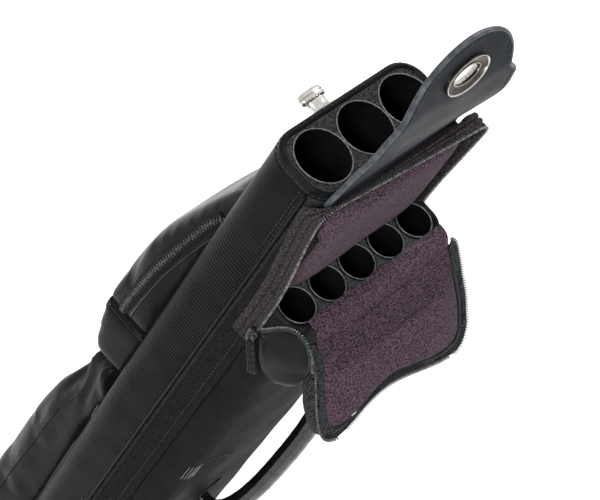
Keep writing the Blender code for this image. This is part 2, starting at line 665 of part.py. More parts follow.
def build_flap():
    """Padded flap with a plum lining and its half of the zip."""
    frame = flap_frame()
    pivot = make_pivot("flap_pivot", FLAP_AXIS)
    half = FLAP_LINING / 2
    mesh = slab([flap_outline(-half, FLAP_ZIP_WIDTH)], -half, half)
    round_hinge_edge(mesh, half)
    mesh.transform(frame)
    add("flap_lining", mesh, PLUM, pivot)
    inner = half + CLEAR
    outer = inner + FLAP_THICKNESS - FLAP_LINING
    profile = [
        (FLAP_TAPER_START, inner), (FLAP_LENGTH, inner), (FLAP_LENGTH, outer),
        (FLAP_TAPER_END, outer), (FLAP_TAPER_START, inner + FLAP_LINING / 2),
    ]
    wedge = slab([profile], -FLAP_HALF_WIDTH, FLAP_HALF_WIDTH, "X")
    outline = slab([flap_outline(0, 0)], inner - FLAP_THICKNESS, outer + FLAP_THICKNESS)
    body = apply_boolean(wedge, outline, "INTERSECT")
    round_edges(body, FLAP_ROUNDING)
    body.transform(frame)
    add("flap_pad", body, LEATHER_BLACK, pivot)
    outer = flap_outline(FLAP_TAPER_START, 0)
    inner = flap_outline(FLAP_TAPER_START, FLAP_ZIP_WIDTH - CLEAR)
    band = outer[1:] + [outer[0], inner[0]] + inner[:0:-1]
    mesh = slab([band], half - FLAP_ZIP_THICKNESS, half)
    mesh.transform(frame)
    add("flap_zip", mesh, ZIP_BLACK, pivot)


def build_slider(label, center, side, lean, slant):
    """Zip slider against a side face, and its pull on the slider's eye, slanted towards the front."""
    thick, wide, tall = SLIDER_SIZE
    x0 = center.x + side * CLEAR
    x1 = x0 + side * thick
    low = (center.y - wide / 2, center.z - tall / 2)
    high = (center.y + wide / 2, center.z + tall / 2)
    box = rounded_rect(low, high, SLIDER_CORNER, 3)
    body = slab([box], min(x0, x1), max(x0, x1), "X", rounding=SLIDER_ROUNDING)
    slide = make_pivot(f"{label}_slide_pivot", center)
    add(f"{label}_slider", body, ZIP_BLACK, slide)
    eye = Vector((x1 + side * (CLEAR + PULL_EYE), center.y, center.z + tall / 2 - PULL_EYE))
    pull_thick, pull_wide, pull_long = PULL_SIZE
    outline = rounded_rect((-pull_wide / 2, -pull_long), (pull_wide / 2, PULL_EYE), PULL_CORNER, 3)
    mesh = slab([outline], -pull_thick / 2, pull_thick / 2, "X", rounding=PULL_ROUNDING)
    mesh.transform(Matrix.Rotation(math.radians(-side * lean), 4, "Y"))
    mesh.transform(Matrix.Rotation(math.radians(-slant), 4, "X"))
    mesh.transform(Matrix.Translation(eye))
    swing = make_pivot(f"{label}_pull_pivot", eye)
    add(f"{label}_pull", mesh, LEATHER_BLACK, swing)


def build_handle():
    """Bowed leather grip between two sewn tabs on the front panel."""
    wide, thick, tall = HANDLE_TAB
    top = MOUTH_HEIGHT - HANDLE_TOP_DROP
    bottom = top - HANDLE_LENGTH
    face = FRONT_Y - CLEAR
    for name, z in (("handle_tab_upper", top), ("handle_tab_lower", bottom)):
        plate = rounded_rect((-wide / 2, z - tall / 2), (wide / 2, z + tall / 2), HANDLE_TAB_CORNER, 4)
        add(name, slab([plate], face - thick, face, "Y", rounding=HANDLE_TAB_ROUNDING), LEATHER_BLACK)
    curve = bpy.data.curves.new("handle", "CURVE")
    curve.dimensions = "3D"
    curve.bevel_depth = HANDLE_RADIUS
    curve.bevel_resolution = 3
    curve.use_fill_caps = True
    start = face - thick - CLEAR
    middle = (top + bottom) / 2
    steps = 24
    route = [(start, top)]
    for i in range(steps + 1):
        a = math.pi * i / steps
        y = start - HANDLE_STUB - HANDLE_STAND_OFF * math.sin(a) ** 0.8
        z = middle + HANDLE_LENGTH / 2 * math.copysign(abs(math.cos(a)) ** 0.8, math.cos(a))
        route.append((y, z))
    route.append((start, bottom))
    spline = curve.splines.new("POLY")
    spline.points.add(len(route) - 1)
    for point, (y, z) in zip(spline.points, route):
        point.co = (0, y, z, 1)
    smooth(add("handle_grip", curve_to_mesh(curve), LEATHER_BLACK))


def pocket_face(top, profile):
    """Points down a pocket's outer face, in Y and Z, from (drop, depth) pairs."""
    return [(BACK_FACE_Y + depth, MOUTH_HEIGHT - top - drop) for drop, depth in profile]


def pocket_solid(face, rounding):
    """A pocket as deep as its side view, across the back panel."""
    outline = [(BACK_FACE_Y, face[0][1])] + face + [(BACK_FACE_Y, face[-1][1])]
    return slab([outline], -POCKET_HALF_WIDTH, POCKET_HALF_WIDTH, "X", rounding=rounding)


def build_pockets():
    """Two zipped pockets on the back panel, the upper one with a leather end cap."""
    body = pocket_face(UPPER_POCKET_TOP, UPPER_POCKET_PROFILE)
    add("upper_pocket", pocket_solid(body, UPPER_ROUNDING), LEATHER_BLACK)
    cap = pocket_face(UPPER_POCKET_TOP + CLEAR, UPPER_CAP_PROFILE)
    add("upper_pocket_cap", pocket_solid(cap, UPPER_ROUNDING), LEATHER_BLACK)
    lower = pocket_face(LOWER_POCKET_TOP, LOWER_POCKET_PROFILE)
    lower += [(BACK_FACE_Y + depth, LOWER_POCKET_HEIGHT + rise) for rise, depth in LOWER_FOOT_PROFILE]
    add("lower_pocket", pocket_solid(lower, LOWER_ROUNDING), LEATHER_BLACK)
    upper_line = [
        Vector((0, BACK_FACE_Y + depth, MOUTH_HEIGHT - drop))
        for drop, depth in zip(UPPER_ZIP_DROPS, UPPER_ZIP_DEPTHS)
    ]
    lower_line = [
        Vector((0, BACK_FACE_Y + LOWER_ZIP_DEPTH, z))
        for z in (MOUTH_HEIGHT - LOWER_POCKET_TOP - LOWER_ZIP_START, LOWER_POCKET_HEIGHT + LOWER_ZIP_END)
    ]
    build_pocket_zip("upper_pocket", upper_line)
    build_pocket_zip("lower_pocket", lower_line)


def build_pocket_zip(label, line):
    """Coil zip on the far side of a pocket, with its slider parked at the top."""
    high, low = line
    thick, wide = POCKET_ZIP
    outline = wall_outline([(high.y, high.z), (low.y, low.z)], wide)
    inner = POCKET_HALF_WIDTH + CLEAR
    add(f"{label}_zip", slab([outline], inner, inner + thick, "X"), ZIP_BLACK)
    along = (low - high).normalized()
    place = high + along * SLIDER_SIZE[2]
    build_slider(label, Vector((inner + thick, place.y, place.z)), 1, 0.0, 0.0)


def main():
    build_base()
    build_tubes("butt", BUTT_X, 0.0, BUTT_RADIUS, BUTT_OUTER, MOUTH_HEIGHT, BUTT_PAD, 32)
    build_tubes("shaft", SHAFT_X, SHAFT_ROW_Y, SHAFT_RADIUS, SHAFT_OUTER, SHAFT_MOUTH, SHAFT_PAD, 24)
    build_shell()
    build_decks()
    build_compartment()
    build_lid()
    build_lock()
    build_flap()
    middle = (ZIP_BAND_FRONT + ZIP_BAND_BACK) / 2
    build_slider("shaft_zip", Vector((-SIDE_X, middle, ZIP_BOTTOM + SLIDER_RISE)), -1, PULL_LEAN, PULL_SLANT)
    build_handle()
    build_pockets()


main()
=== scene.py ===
"""Looks of the cue case: leather, cloth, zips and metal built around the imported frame, in metres."""

import json
import math
from contextlib import contextmanager

import bmesh
import bpy
from mathutils import Matrix, Vector
from mathutils.bvhtree import BVHTree


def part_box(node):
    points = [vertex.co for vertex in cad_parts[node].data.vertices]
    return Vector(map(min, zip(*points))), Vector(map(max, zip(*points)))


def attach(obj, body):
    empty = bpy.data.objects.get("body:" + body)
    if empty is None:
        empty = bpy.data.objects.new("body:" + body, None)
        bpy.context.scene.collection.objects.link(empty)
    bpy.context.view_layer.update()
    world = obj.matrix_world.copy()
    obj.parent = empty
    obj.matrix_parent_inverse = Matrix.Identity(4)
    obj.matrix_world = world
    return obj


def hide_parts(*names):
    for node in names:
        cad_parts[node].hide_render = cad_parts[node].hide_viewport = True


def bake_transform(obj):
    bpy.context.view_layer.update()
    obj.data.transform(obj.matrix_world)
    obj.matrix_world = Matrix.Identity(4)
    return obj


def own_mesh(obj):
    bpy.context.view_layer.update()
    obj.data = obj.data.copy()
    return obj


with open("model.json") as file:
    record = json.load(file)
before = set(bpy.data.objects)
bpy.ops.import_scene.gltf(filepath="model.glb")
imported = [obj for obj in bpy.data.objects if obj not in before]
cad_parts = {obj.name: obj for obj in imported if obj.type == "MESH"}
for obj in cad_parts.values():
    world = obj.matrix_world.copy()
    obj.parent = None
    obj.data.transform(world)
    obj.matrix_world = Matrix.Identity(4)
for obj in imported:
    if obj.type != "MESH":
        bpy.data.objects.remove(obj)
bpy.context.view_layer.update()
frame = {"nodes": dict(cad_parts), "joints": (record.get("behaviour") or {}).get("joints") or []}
JOINTS = {joint["name"]: joint for joint in frame["joints"]}

# Camera fitted to the tube mouths: position relative to the middle butt mouth, and image axes
CAMERA_OFFSET = Vector((-0.8704, -0.2392, 1.0102))
CAMERA_RIGHT = Vector((0.6554, -0.6594, 0.3682))
CAMERA_DOWN = Vector((-0.4611, -0.7355, -0.4965))
FOCAL_PIXELS = 2200
IMAGE_WIDTH = 600
SENSOR = 36.0


# Places read from the frame
def mid(name, axis):
    """Middle of a node's box along an axis."""
    low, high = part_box(name)
    return (low[axis] + high[axis]) / 2


BUTT_LOW, BUTT_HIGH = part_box("butt_tube_2")
FLOOR_Z = BUTT_LOW.z
MOUTH = BUTT_HIGH.z
BUTT_OUTER = BUTT_HIGH.x
BUTT_X = [mid(f"butt_tube_{i}", 0) for i in (1, 2, 3)]
SHAFT_LOW, SHAFT_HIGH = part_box("shaft_tube_1")
SHAFT_MOUTH = SHAFT_HIGH.z
SHAFT_OUTER = (SHAFT_HIGH.x - SHAFT_LOW.x) / 2
SHAFT_X = [mid(f"shaft_tube_{i}", 0) for i in range(1, 6)]
SHAFT_Y = mid("shaft_tube_1", 1)
SHELL_X = -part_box("ribbed_side_panel")[0].x
SHELL_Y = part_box("ribbed_side_panel")[1].y
RIM_LOW, RIM_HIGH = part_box("top_rim")
FRONT_LOW, FRONT_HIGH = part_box("shaft_front_panel")
FRONT_Y = FRONT_LOW.y
SIDE_X = FRONT_HIGH.x
ZIP_LOW, ZIP_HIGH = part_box("fixed_zip")
HINGE = Vector(JOINTS["lid_hinge"]["pos_m"])
FLAP_AXIS = Vector(JOINTS["flap_fold"]["pos_m"])
LOCK = Vector(JOINTS["lock_turn"]["pos_m"])

# Sizes repeated from the construction
SHELL_CORNER = 0.018
SHELL_WALL = 0.003
FRONT_SEAM_ANGLE = 17.5
RIM_WIDTH = 0.0046
BUTT_BORE = 0.019
SHAFT_BORE = 0.01255
COMPARTMENT_WALL = 0.0024
COMPARTMENT_CORNER = 0.012
PANEL_CORNER = 0.014
LEATHER = 0.0026
LID_PANEL = 0.051
CREASE_TO_EYELET = 0.014
LID_HALF_WIDTH = 0.060
TONGUE_HALF_WIDTH = 0.047
EYELET_HALF = (0.020, 0.012)
SLOT_HALF = (0.0118, 0.0058)
FLAP_HANG = 46.7
FLAP_HALF_WIDTH = 0.073
FLAP_LENGTH = 0.090
POCKET_HALF = 0.047

# Stitches, zip teeth, and the gaps, spacings and counts that several pieces share
STITCH_LENGTH = 0.0030
STITCH_PITCH = 0.0043
STITCH_RADIUS = 0.00034
STITCH_SETBACK = 0.004
TOOTH_PITCH = 0.0018
TOOTH_SIZE = (0.0024, 0.0009, 0.0016)
GAP = 0.0001
SKIN_EASE = 0.0004
FINE_STEP = 0.002
PATH_STEP = 0.003
COARSE_STEP = 0.004
CORNER_STEPS = 12
ROLL_SIDES = 12
WALL_ROWS = 60
SHARP_ANGLE = 50

X_WAY = Vector((1, 0, 0))
Y_WAY = Vector((0, 1, 0))
Z_WAY = Vector((0, 0, 1))


# Shader helpers
def node(tree, kind, **settings):
    made = tree.nodes.new(kind)
    for key, value in settings.items():
        setattr(made, key, value)
    return made


def set_inputs(made, values):
    for key, value in values.items():
        made.inputs[key].default_value = value


def texture(tree, coords, kind, scale, **values):
    made = node(tree, kind)
    set_inputs(made, {"Scale": scale, **values})
    tree.links.new(coords, made.inputs["Vector"])
    return made


def combined(tree, operation, outputs):
    """Values joined one after another by a math node."""
    total = outputs[0]
    for output in outputs[1:]:
        joined = node(tree, "ShaderNodeMath", operation=operation)
        tree.links.new(total, joined.inputs[0])
        tree.links.new(output, joined.inputs[1])
        total = joined.outputs[0]
    return total


def height_of(tree, coords, kind, scale):
    """The height of one bump pattern: leather grain, noise or a weave."""
    if kind == "grain":
        cells = texture(tree, coords, "ShaderNodeTexVoronoi", scale)
        cells.feature = "SMOOTH_F1"
        cells.inputs["Smoothness"].default_value = 0.6
        return cells.outputs["Distance"]
    if kind == "noise":
        return texture(tree, coords, "ShaderNodeTexNoise", scale, Detail=4.0, Roughness=0.6).outputs["Fac"]
    waves = []
    for axis in ("X", "Z", "Y"):
        wave = texture(tree, coords, "ShaderNodeTexWave", scale)
        wave.bands_direction = axis
        waves.append(wave.outputs["Fac"])
    return combined(tree, "ADD", waves)


def new_material(name):
    material = bpy.data.materials.new(name)
    material.use_nodes = True
    return material, material.node_tree, material.node_tree.nodes["Principled BSDF"]


def make_material(name, dark, light, mottle, roughness, bumps, metallic=0.0, sheen=0.0, spread=0.18,
                  specular=0.5):
    """Mottled colour and roughness over layered bumps, each (kind, scale, depth in metres)."""
    material, tree, shader = new_material(name)
    set_inputs(shader, {"Metallic": metallic, "Specular IOR Level": specular})
    if sheen:
        set_inputs(shader, {"Sheen Weight": sheen, "Sheen Roughness": 0.4})
    coords = node(tree, "ShaderNodeTexCoord").outputs["Object"]
    cloud = texture(tree, coords, "ShaderNodeTexNoise", mottle, Detail=5.0, Roughness=0.65)
    ramp_node = node(tree, "ShaderNodeValToRGB")
    for stop, position, color in zip(ramp_node.color_ramp.elements, (-spread / 2, spread / 2), (dark, light)):
        stop.position = 0.5 + position
        stop.color = (*color, 1)
    tree.links.new(cloud.outputs["Fac"], ramp_node.inputs["Fac"])
    tree.links.new(ramp_node.outputs["Color"], shader.inputs["Base Color"])
    rough = node(tree, "ShaderNodeMapRange")
    set_inputs(rough, {"From Min": 0.3, "From Max": 0.7, "To Min": roughness[0], "To Max": roughness[1]})
    patches = texture(tree, coords, "ShaderNodeTexNoise", mottle / 3, Detail=3.0)
    tree.links.new(patches.outputs["Fac"], rough.inputs["Value"])
    tree.links.new(rough.outputs["Result"], shader.inputs["Roughness"])
    normal = None
    for kind, scale, depth in bumps:
        bump = node(tree, "ShaderNodeBump")
        bump.inputs["Distance"].default_value = depth
        tree.links.new(height_of(tree, coords, kind, scale), bump.inputs["Height"])
        if normal is not None:
            tree.links.new(normal, bump.inputs["Normal"])
        normal = bump.outputs["Normal"]
    tree.links.new(normal, shader.inputs["Normal"])
    return material


HIDE = [("noise", 45, 0.0006), ("grain", 900, 0.00012)]
NAP = [("noise", 720, 0.0006)]
CAST = [("noise", 700, 0.00003)]
POLISH = [("noise", 900, 0.00001)]
TWINE = [("noise", 2500, 0.0001)]

# Finishes: slot where a whole piece has it, name, dark and light colour, mottle scale, roughness range,
# bumps and further settings
FINISHES = {
    "smooth": ("black_leather", "black_smooth_leather",
               (0.0092, 0.0099, 0.0108), (0.0126, 0.0135, 0.0146), 60,
               (0.22, 0.34), HIDE, {"specular": 0.045}),
    "matte": ("black_leather", "black_matte_leather",
              (0.0105, 0.0113, 0.0122), (0.0142, 0.0152, 0.0164), 60,
              (0.48, 0.62), HIDE, {"specular": 0.010}),
    "ribbed": ("black_leather", "black_ribbed_leather",
               (0.0042, 0.0047, 0.0053), (0.0088, 0.0096, 0.0106), 30,
               (0.26, 0.40), [("grain", 1300, 0.00006)], {"specular": 0.035}),
    "gloss": ("black_leather", "black_gloss_leather",
              (0.0035, 0.0038, 0.0042), (0.0080, 0.0086, 0.0094), 60,
              (0.12, 0.20), [("noise", 60, 0.0008)], {"specular": 0.30}),
    "slate": ("slate_leather", "slate_leather", (0.0095, 0.0117, 0.0145), (0.0185, 0.0215, 0.0255), 70,
              (0.44, 0.58), [("noise", 60, 0.0003), ("grain", 1100, 0.00007)], {"specular": 0.08}),
    # Painted highlight: the lid's rolled edge is the same slate leather painted lighter
    "slate_edge_painted_highlight": ("slate_leather", "slate_leather_edge", (0.034, 0.040, 0.047), (0.080, 0.089, 0.100), 160,
                   (0.36, 0.50), [("noise", 220, 0.0002), ("grain", 1100, 0.00006)], {"specular": 0.25}),
    "tube": ("tube_plastic", "tube_plastic", (0.0035, 0.0035, 0.0040), (0.006, 0.006, 0.0066), 40,
             (0.45, 0.6), [("noise", 300, 0.00002)], {"specular": 0.08}),
    # Painted highlight: a light grey painted on the black tube's lip, standing in for the light it catches
    "lip": (None, "tube_lip", (0.06, 0.062, 0.066), (0.17, 0.175, 0.18), 420,
            (0.3, 0.45), [("noise", 700, 0.00004)], {}),
    "felt": ("felt", "grey_felt", (0.0050, 0.0054, 0.0057), (0.060, 0.063, 0.065), 900,
             (0.85, 0.98), [("noise", 700, 0.0005)], {"sheen": 0.1, "spread": 0.16, "specular": 0.1}),
    "foam": ("foam", "black_foam", (0.016, 0.0175, 0.0175), (0.105, 0.111, 0.112), 900,
             (0.85, 0.98), [("noise", 700, 0.0004)], {"sheen": 0.1, "spread": 0.16, "specular": 0.1}),
    "plum": ("plum_lining", "plum_lining", (0.018, 0.0105, 0.0150), (0.118, 0.078, 0.103), 950,
             (0.85, 0.97), NAP, {"sheen": 0.05, "spread": 0.12, "specular": 0.08}),
    "plum_nylon": ("black_zip", "plum_nylon", (0.0050, 0.0042, 0.0045), (0.070, 0.060, 0.064), 950,
                   (0.7, 0.9), NAP, {"sheen": 0.03, "spread": 0.14, "specular": 0.06}),
    "dark_nylon": ("black_nylon", "dark_nylon", (0.0020, 0.0018, 0.0019), (0.021, 0.019, 0.0195), 950,
                   (0.7, 0.9), NAP, {"spread": 0.14, "specular": 0.05}),
    "nylon": ("black_zip", "black_nylon", (0.0070, 0.0080, 0.0084), (0.066, 0.073, 0.076), 950,
              (0.65, 0.85), [("weave", 420, 0.0002)], {"sheen": 0.03, "spread": 0.14, "specular": 0.08}),
    "tape": ("black_zip", "zip_tape", (0.0030, 0.0031, 0.0032), (0.016, 0.0165, 0.017), 900,
             (0.6, 0.8), [("weave", 520, 0.0002)], {"sheen": 0.03, "spread": 0.16, "specular": 0.08}),
    # Painted highlight: black zip teeth painted a light grey to stand in for their glints
    "teeth": ("black_zip", "zip_teeth", (0.060, 0.060, 0.062), (0.24, 0.24, 0.245), 300,
              (0.20, 0.32), CAST, {}),
    # Painted highlight, dimmer: the pockets' black teeth painted a darker grey than the opening's
    "dim_painted_glint_teeth": ("black_zip", "dull_zip_teeth", (0.025, 0.025, 0.026), (0.10, 0.10, 0.103), 300,
                   (0.22, 0.34), CAST, {"specular": 0.4}),
    "thread": ("black_leather", "thread", (0.018, 0.018, 0.019), (0.052, 0.053, 0.056), 900,
               (0.5, 0.7), TWINE, {"specular": 0.2}),
    "bright_thread": ("black_leather", "bright_thread", (0.06, 0.06, 0.063), (0.20, 0.20, 0.21), 700,
                      (0.3, 0.45), TWINE, {}),
    "nickel": ("nickel", "nickel", (0.50, 0.485, 0.45), (0.62, 0.60, 0.565), 200,
               (0.16, 0.28), POLISH, {"metallic": 1.0}),
    "dish": (None, "brushed_dish", (0.055, 0.047, 0.038), (0.105, 0.091, 0.076), 240,
             (0.24, 0.36), POLISH, {"metallic": 1.0}),
    "dark_metal": ("black_zip", "dark_metal", (0.022, 0.022, 0.023), (0.065, 0.065, 0.068), 200,
                   (0.14, 0.24), [("noise", 900, 0.00002)], {"metallic": 0.5}),
    "rubber": (None, "rubber", (0.008, 0.008, 0.008), (0.014, 0.014, 0.014), 90,
               (0.7, 0.85), [("noise", 400, 0.0002)], {"specular": 0.15}),
}
M = {key: make_material(*row[1:-1], **row[-1]) for key, row in FINISHES.items()}


# Mesh helpers
@contextmanager
def editing(mesh):
    """The mesh as a bmesh, written back at the end."""
    solid = bmesh.new()
    solid.from_mesh(mesh)
    yield solid
    solid.to_mesh(mesh)
    solid.free()


def dress(obj, material, *replaces, body="case", slot=None):
    """Links a new piece, gives it its finish and lets it ride."""
    if obj.name not in bpy.context.scene.collection.all_objects:
        bpy.context.scene.collection.objects.link(obj)
    with editing(obj.data) as solid:
        bmesh.ops.recalc_face_normals(solid, faces=solid.faces)
    obj.data.materials.clear()
    obj.data.materials.append(M[material])
    obj.data.shade_smooth()
    obj.data.set_sharp_from_angle(angle=math.radians(SHARP_ANGLE))
    if body:
        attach(obj, body)
    if replaces:
        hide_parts(*replaces)
    return obj


def piece(name, shape, material, *replaces, body="case", slot=None):
    """One piece from (vertices, faces), in the frame's place, riding on a body."""
    mesh = bpy.data.meshes.new(name)
    mesh.from_pydata([tuple(v) for v in shape[0]], [], shape[1])
    mesh.update()
    return dress(bpy.data.objects.new(name, mesh), material, *replaces, body=body, slot=slot)


def recoat(obj, material, chosen):
    """A second finish on the chosen faces."""
    obj.data.materials.append(M[material])
    for face in obj.data.polygons:
        if chosen(face):
            face.material_index = 1


def thicken(obj, thickness, offset=0.0):
    made = obj.modifiers.new("thickness", "SOLIDIFY")
    made.thickness = thickness
    made.offset = offset


def lofted(rows, wrap_rows=False, wrap_cols=True):
    """Vertices and faces of a skin over equal rows of points, capped when it is a closed tube."""
    count = len(rows)
    cols = len(rows[0])
    faces = []
    for r in range(count if wrap_rows else count - 1):
        after = (r + 1) % count
        for c in range(cols if wrap_cols else cols - 1):
            d = (c + 1) % cols
            faces.append((r * cols + c, r * cols + d, after * cols + d, after * cols + c))
    if wrap_cols and not wrap_rows:
        faces.append(tuple(range(cols))[::-1])
        faces.append(tuple(range((count - 1) * cols, count * cols)))
    return [p for row in rows for p in row], faces


def ramp(value, start, end):
    """0 before start, 1 after end, straight between."""
    return min(1.0, max(0.0, (value - start) / (end - start)))


def ease(value, start, end):
    """0 before start, 1 after end, smooth between."""
    t = ramp(value, start, end)
    return t * t * (3 - 2 * t)


def bell(value, middle, width):
    return math.exp(-(((value - middle) / width) ** 2))


def levels(low, high, count):
    return [low + (high - low) * i / count for i in range(count + 1)]


def direction(angle):
    """Unit vector in the YZ plane, degrees up from +Y."""
    return Vector((0, math.cos(math.radians(angle)), math.sin(math.radians(angle))))


def on_circle(center, radius, angle):
    a = math.radians(angle)
    return center[0] + radius * math.cos(a), center[1] + radius * math.sin(a)


def arc(center, radius, start, end, steps):
    return [on_circle(center, radius, start + (end - start) * i / steps) for i in range(steps + 1)]


def circle(sides, wide=1.0, tall=1.0):
    angles = [2 * math.pi * k / sides for k in range(sides)]
    return [(wide * math.cos(a), tall * math.sin(a)) for a in angles]


def rounded_rect(low, high, radius, steps=8):
    points = arc((high[0] - radius, high[1] - radius), radius, 0, 90, steps)
    points += arc((low[0] + radius, high[1] - radius), radius, 90, 180, steps)
    points += arc((low[0] + radius, low[1] + radius), radius, 180, 270, steps)
    return points + arc((high[0] - radius, low[1] + radius), radius, 270, 360, steps)


def resample(points, step, closed=False):
    """Points at an even spacing along a path."""
    path = [Vector(p) for p in points]
    if closed:
        path.append(path[0])
    lengths = [0.0]
    for a, b in zip(path, path[1:]):
        lengths.append(lengths[-1] + (b - a).length)
    count = max(2, round(lengths[-1] / step))
    result = []
    k = 0
    for i in range(count if closed else count + 1):
        at = lengths[-1] * i / count
        while k < len(path) - 2 and lengths[k + 1] < at:
            k += 1
        span = max(lengths[k + 1] - lengths[k], 1e-12)
        result.append(path[k].lerp(path[k + 1], min(1.0, (at - lengths[k]) / span)))
    return result


def tangents(path, closed=False):
    count = len(path)
    result = []
    for i in range(count):
        before = path[(i - 1) % count] if closed or i else path[i]
        after = path[(i + 1) % count] if closed or i < count - 1 else path[i]
        result.append((after - before).normalized())
    return result


def sweep(path, normals, section, closed=False):
    """Skin of a section, given as (across, along the normal), carried along a path."""
    rows = []
    for point, along, up in zip(path, tangents(path, closed), normals):
        side = along.cross(up).normalized()
        rows.append([point + side * a + up * b for a, b in section])
    return lofted(rows, wrap_rows=closed)


def rod(name, points, radius, material, *replaces, body="case", sides=10, up=Z_WAY):
    """A round cord or roll along a path."""
    shape = sweep(points, [up] * len(points), circle(sides, radius, radius))
    return piece(name, shape, material, *replaces, body=body)


CAPSULE_RINGS = ((-0.5, 0.35), (-0.32, 1.0), (0.32, 1.0), (0.5, 0.35))


def capsules(centers, directions, ups, size):
    """Many small rounded rods: size is (length, width, height)."""
    verts = []
    faces = []
    for center, along, up in zip(centers, directions, ups):
        side = along.cross(up).normalized()
        rows = []
        for t, r in CAPSULE_RINGS:
            middle = center + along * (t * size[0])
            ring = [side * (c * r * size[1] / 2) + up * (s * r * size[2] / 2) for c, s in circle(6)]
            rows.append([middle + offset for offset in ring])
        points, skin = lofted(rows)
        faces += [tuple(len(verts) + i for i in face) for face in skin]
        verts += points
    return verts, faces


def nearest_normals(path, normals, points):
    """The normal of the path's nearest point, for each of the points."""
    if len(normals) == 1:
        return [Vector(normals[0])] * len(points)
    result = []
    for point in points:
        best = min(range(len(path)), key=lambda i: (path[i] - point).length_squared)
        result.append(Vector(normals[best]))
    return result


def stitched(name, path, normals, body="case", closed=False, lift=GAP):
    """A run of thread stitches that lie on a surface."""
    points = resample(path, STITCH_PITCH, closed)
    ups = nearest_normals(path, normals, points)
    raised = [p + n * lift for p, n in zip(points, ups)]
    size = (STITCH_LENGTH, 2 * STITCH_RADIUS, 2 * STITCH_RADIUS)
    return piece(name, capsules(raised, tangents(points, closed), ups, size), "thread", body=body)


def toothed(name, path, outs, ups, body="case"):
    """Zip teeth that reach outwards from a path."""
    points = resample(path, TOOTH_PITCH)
    out = nearest_normals(path, outs, points)
    centers = [p + o * TOOTH_SIZE[0] / 2 for p, o in zip(points, out)]
    shape = capsules(centers, out, nearest_normals(path, ups, points), TOOTH_SIZE)
    # Painted highlight: the teeth finish is a light grey painted on black teeth
    return piece(name, shape, "teeth", body=body)


def filled(name, outlines, low, high, material, replaces):
    """A flat deck with holes."""
    curve = bpy.data.curves.new(name, "CURVE")
    curve.dimensions = "2D"
    curve.fill_mode = "BOTH"
    curve.extrude = (high - low) / 2
    for outline in outlines:
        spline = curve.splines.new("POLY")
        spline.points.add(len(outline) - 1)
        for point, (x, y) in zip(spline.points, outline):
            point.co = (x, y, 0, 1)
        spline.use_cyclic_u = True
    holder = bpy.data.objects.new("holder", curve)
    bpy.context.scene.collection.objects.link(holder)
    mesh = bpy.data.meshes.new_from_object(holder.evaluated_get(bpy.context.evaluated_depsgraph_get()))
    bpy.data.objects.remove(holder)
    mesh.transform(Matrix.Translation((0, 0, (low + high) / 2)))
    with editing(mesh) as solid:
        bmesh.ops.remove_doubles(solid, verts=solid.verts, dist=1e-6)
    dress(bpy.data.objects.new(name, mesh), material, replaces)


# Padded forms
CLOTH_FRAMES = 20


def bake(obj):
    """The object's mesh with its modifiers applied."""
    mesh = bpy.data.meshes.new_from_object(obj.evaluated_get(bpy.context.evaluated_depsgraph_get()))
    obj.modifiers.clear()
    obj.data = mesh


def smooth_mesh(obj, rounds, shrink=0.0):
    with editing(obj.data) as solid:
        for _ in range(rounds):
            bmesh.ops.smooth_vert(
                solid, verts=solid.verts, factor=0.5, use_axis_x=True, use_axis_y=True, use_axis_z=True)
        if shrink:
            solid.normal_update()
            for vert in solid.verts:
                vert.co -= vert.normal * shrink


def blow_up(obj, pressure, cap):
    """Cloth pressure from inside, with no gravity, each point held within cap of where it began."""
    scene = bpy.context.scene
    cloth = obj.modifiers.new("cloth", "CLOTH")
    cloth.settings.use_pressure = True
    cloth.settings.uniform_pressure_force = pressure
    cloth.settings.effector_weights.gravity = 0.0
    cloth.settings.quality = 5
    cloth.point_cache.frame_end = CLOTH_FRAMES
    before = [v.co.copy() for v in obj.data.vertices]
    for step in range(1, CLOTH_FRAMES + 1):
        scene.frame_set(step)
    evaluated = obj.evaluated_get(bpy.context.evaluated_depsgraph_get())
    after = [v.co.copy() for v in evaluated.data.vertices]
    obj.modifiers.clear()
    drift = sum((b - a for a, b in zip(before, after)), Vector()) / len(before)
    for vert, start, end in zip(obj.data.vertices, before, after):
        move = end - start - drift
        if move.length > cap:
            move *= cap / move.length
        vert.co = start + move
    scene.frame_set(1)


def puffed(obj, voxel, pressure, cap, shrink=0.0):
    """A closed form remeshed, blown up a little as cloth, and subdivided."""
    bpy.context.scene.collection.objects.link(obj)
    remesh = obj.modifiers.new("remesh", "REMESH")
    remesh.mode = "VOXEL"
    remesh.voxel_size = voxel
    bake(obj)
    smooth_mesh(obj, 4, shrink)
    blow_up(obj, pressure, cap)
    smooth_mesh(obj, 2)
    divide = obj.modifiers.new("subdivide", "SUBSURF")
    divide.levels = divide.render_levels = 1
    bake(obj)
    return obj


def stuffed(name, source, voxel, pressure, cap, material, shrink=0.0):
    """A cushion blown up from the solid of the node that it replaces."""
    mesh = bpy.data.meshes.new(name)
    solid = bmesh.new()
    solid.from_mesh(frame["nodes"][source].data)
    solid.to_mesh(mesh)
    solid.free()
    obj = puffed(bpy.data.objects.new(name, mesh), voxel, pressure, cap, shrink)
    dress(obj, material, source)
    return obj


def tree_of(obj):
    return BVHTree.FromPolygons([v.co for v in obj.data.vertices], [p.vertices for p in obj.data.polygons])


def below(pairs):
    """(Y, drop below the mouths) pairs as points with X left at zero."""
    return [Vector((0, y, MOUTH - drop)) for y, drop in pairs]


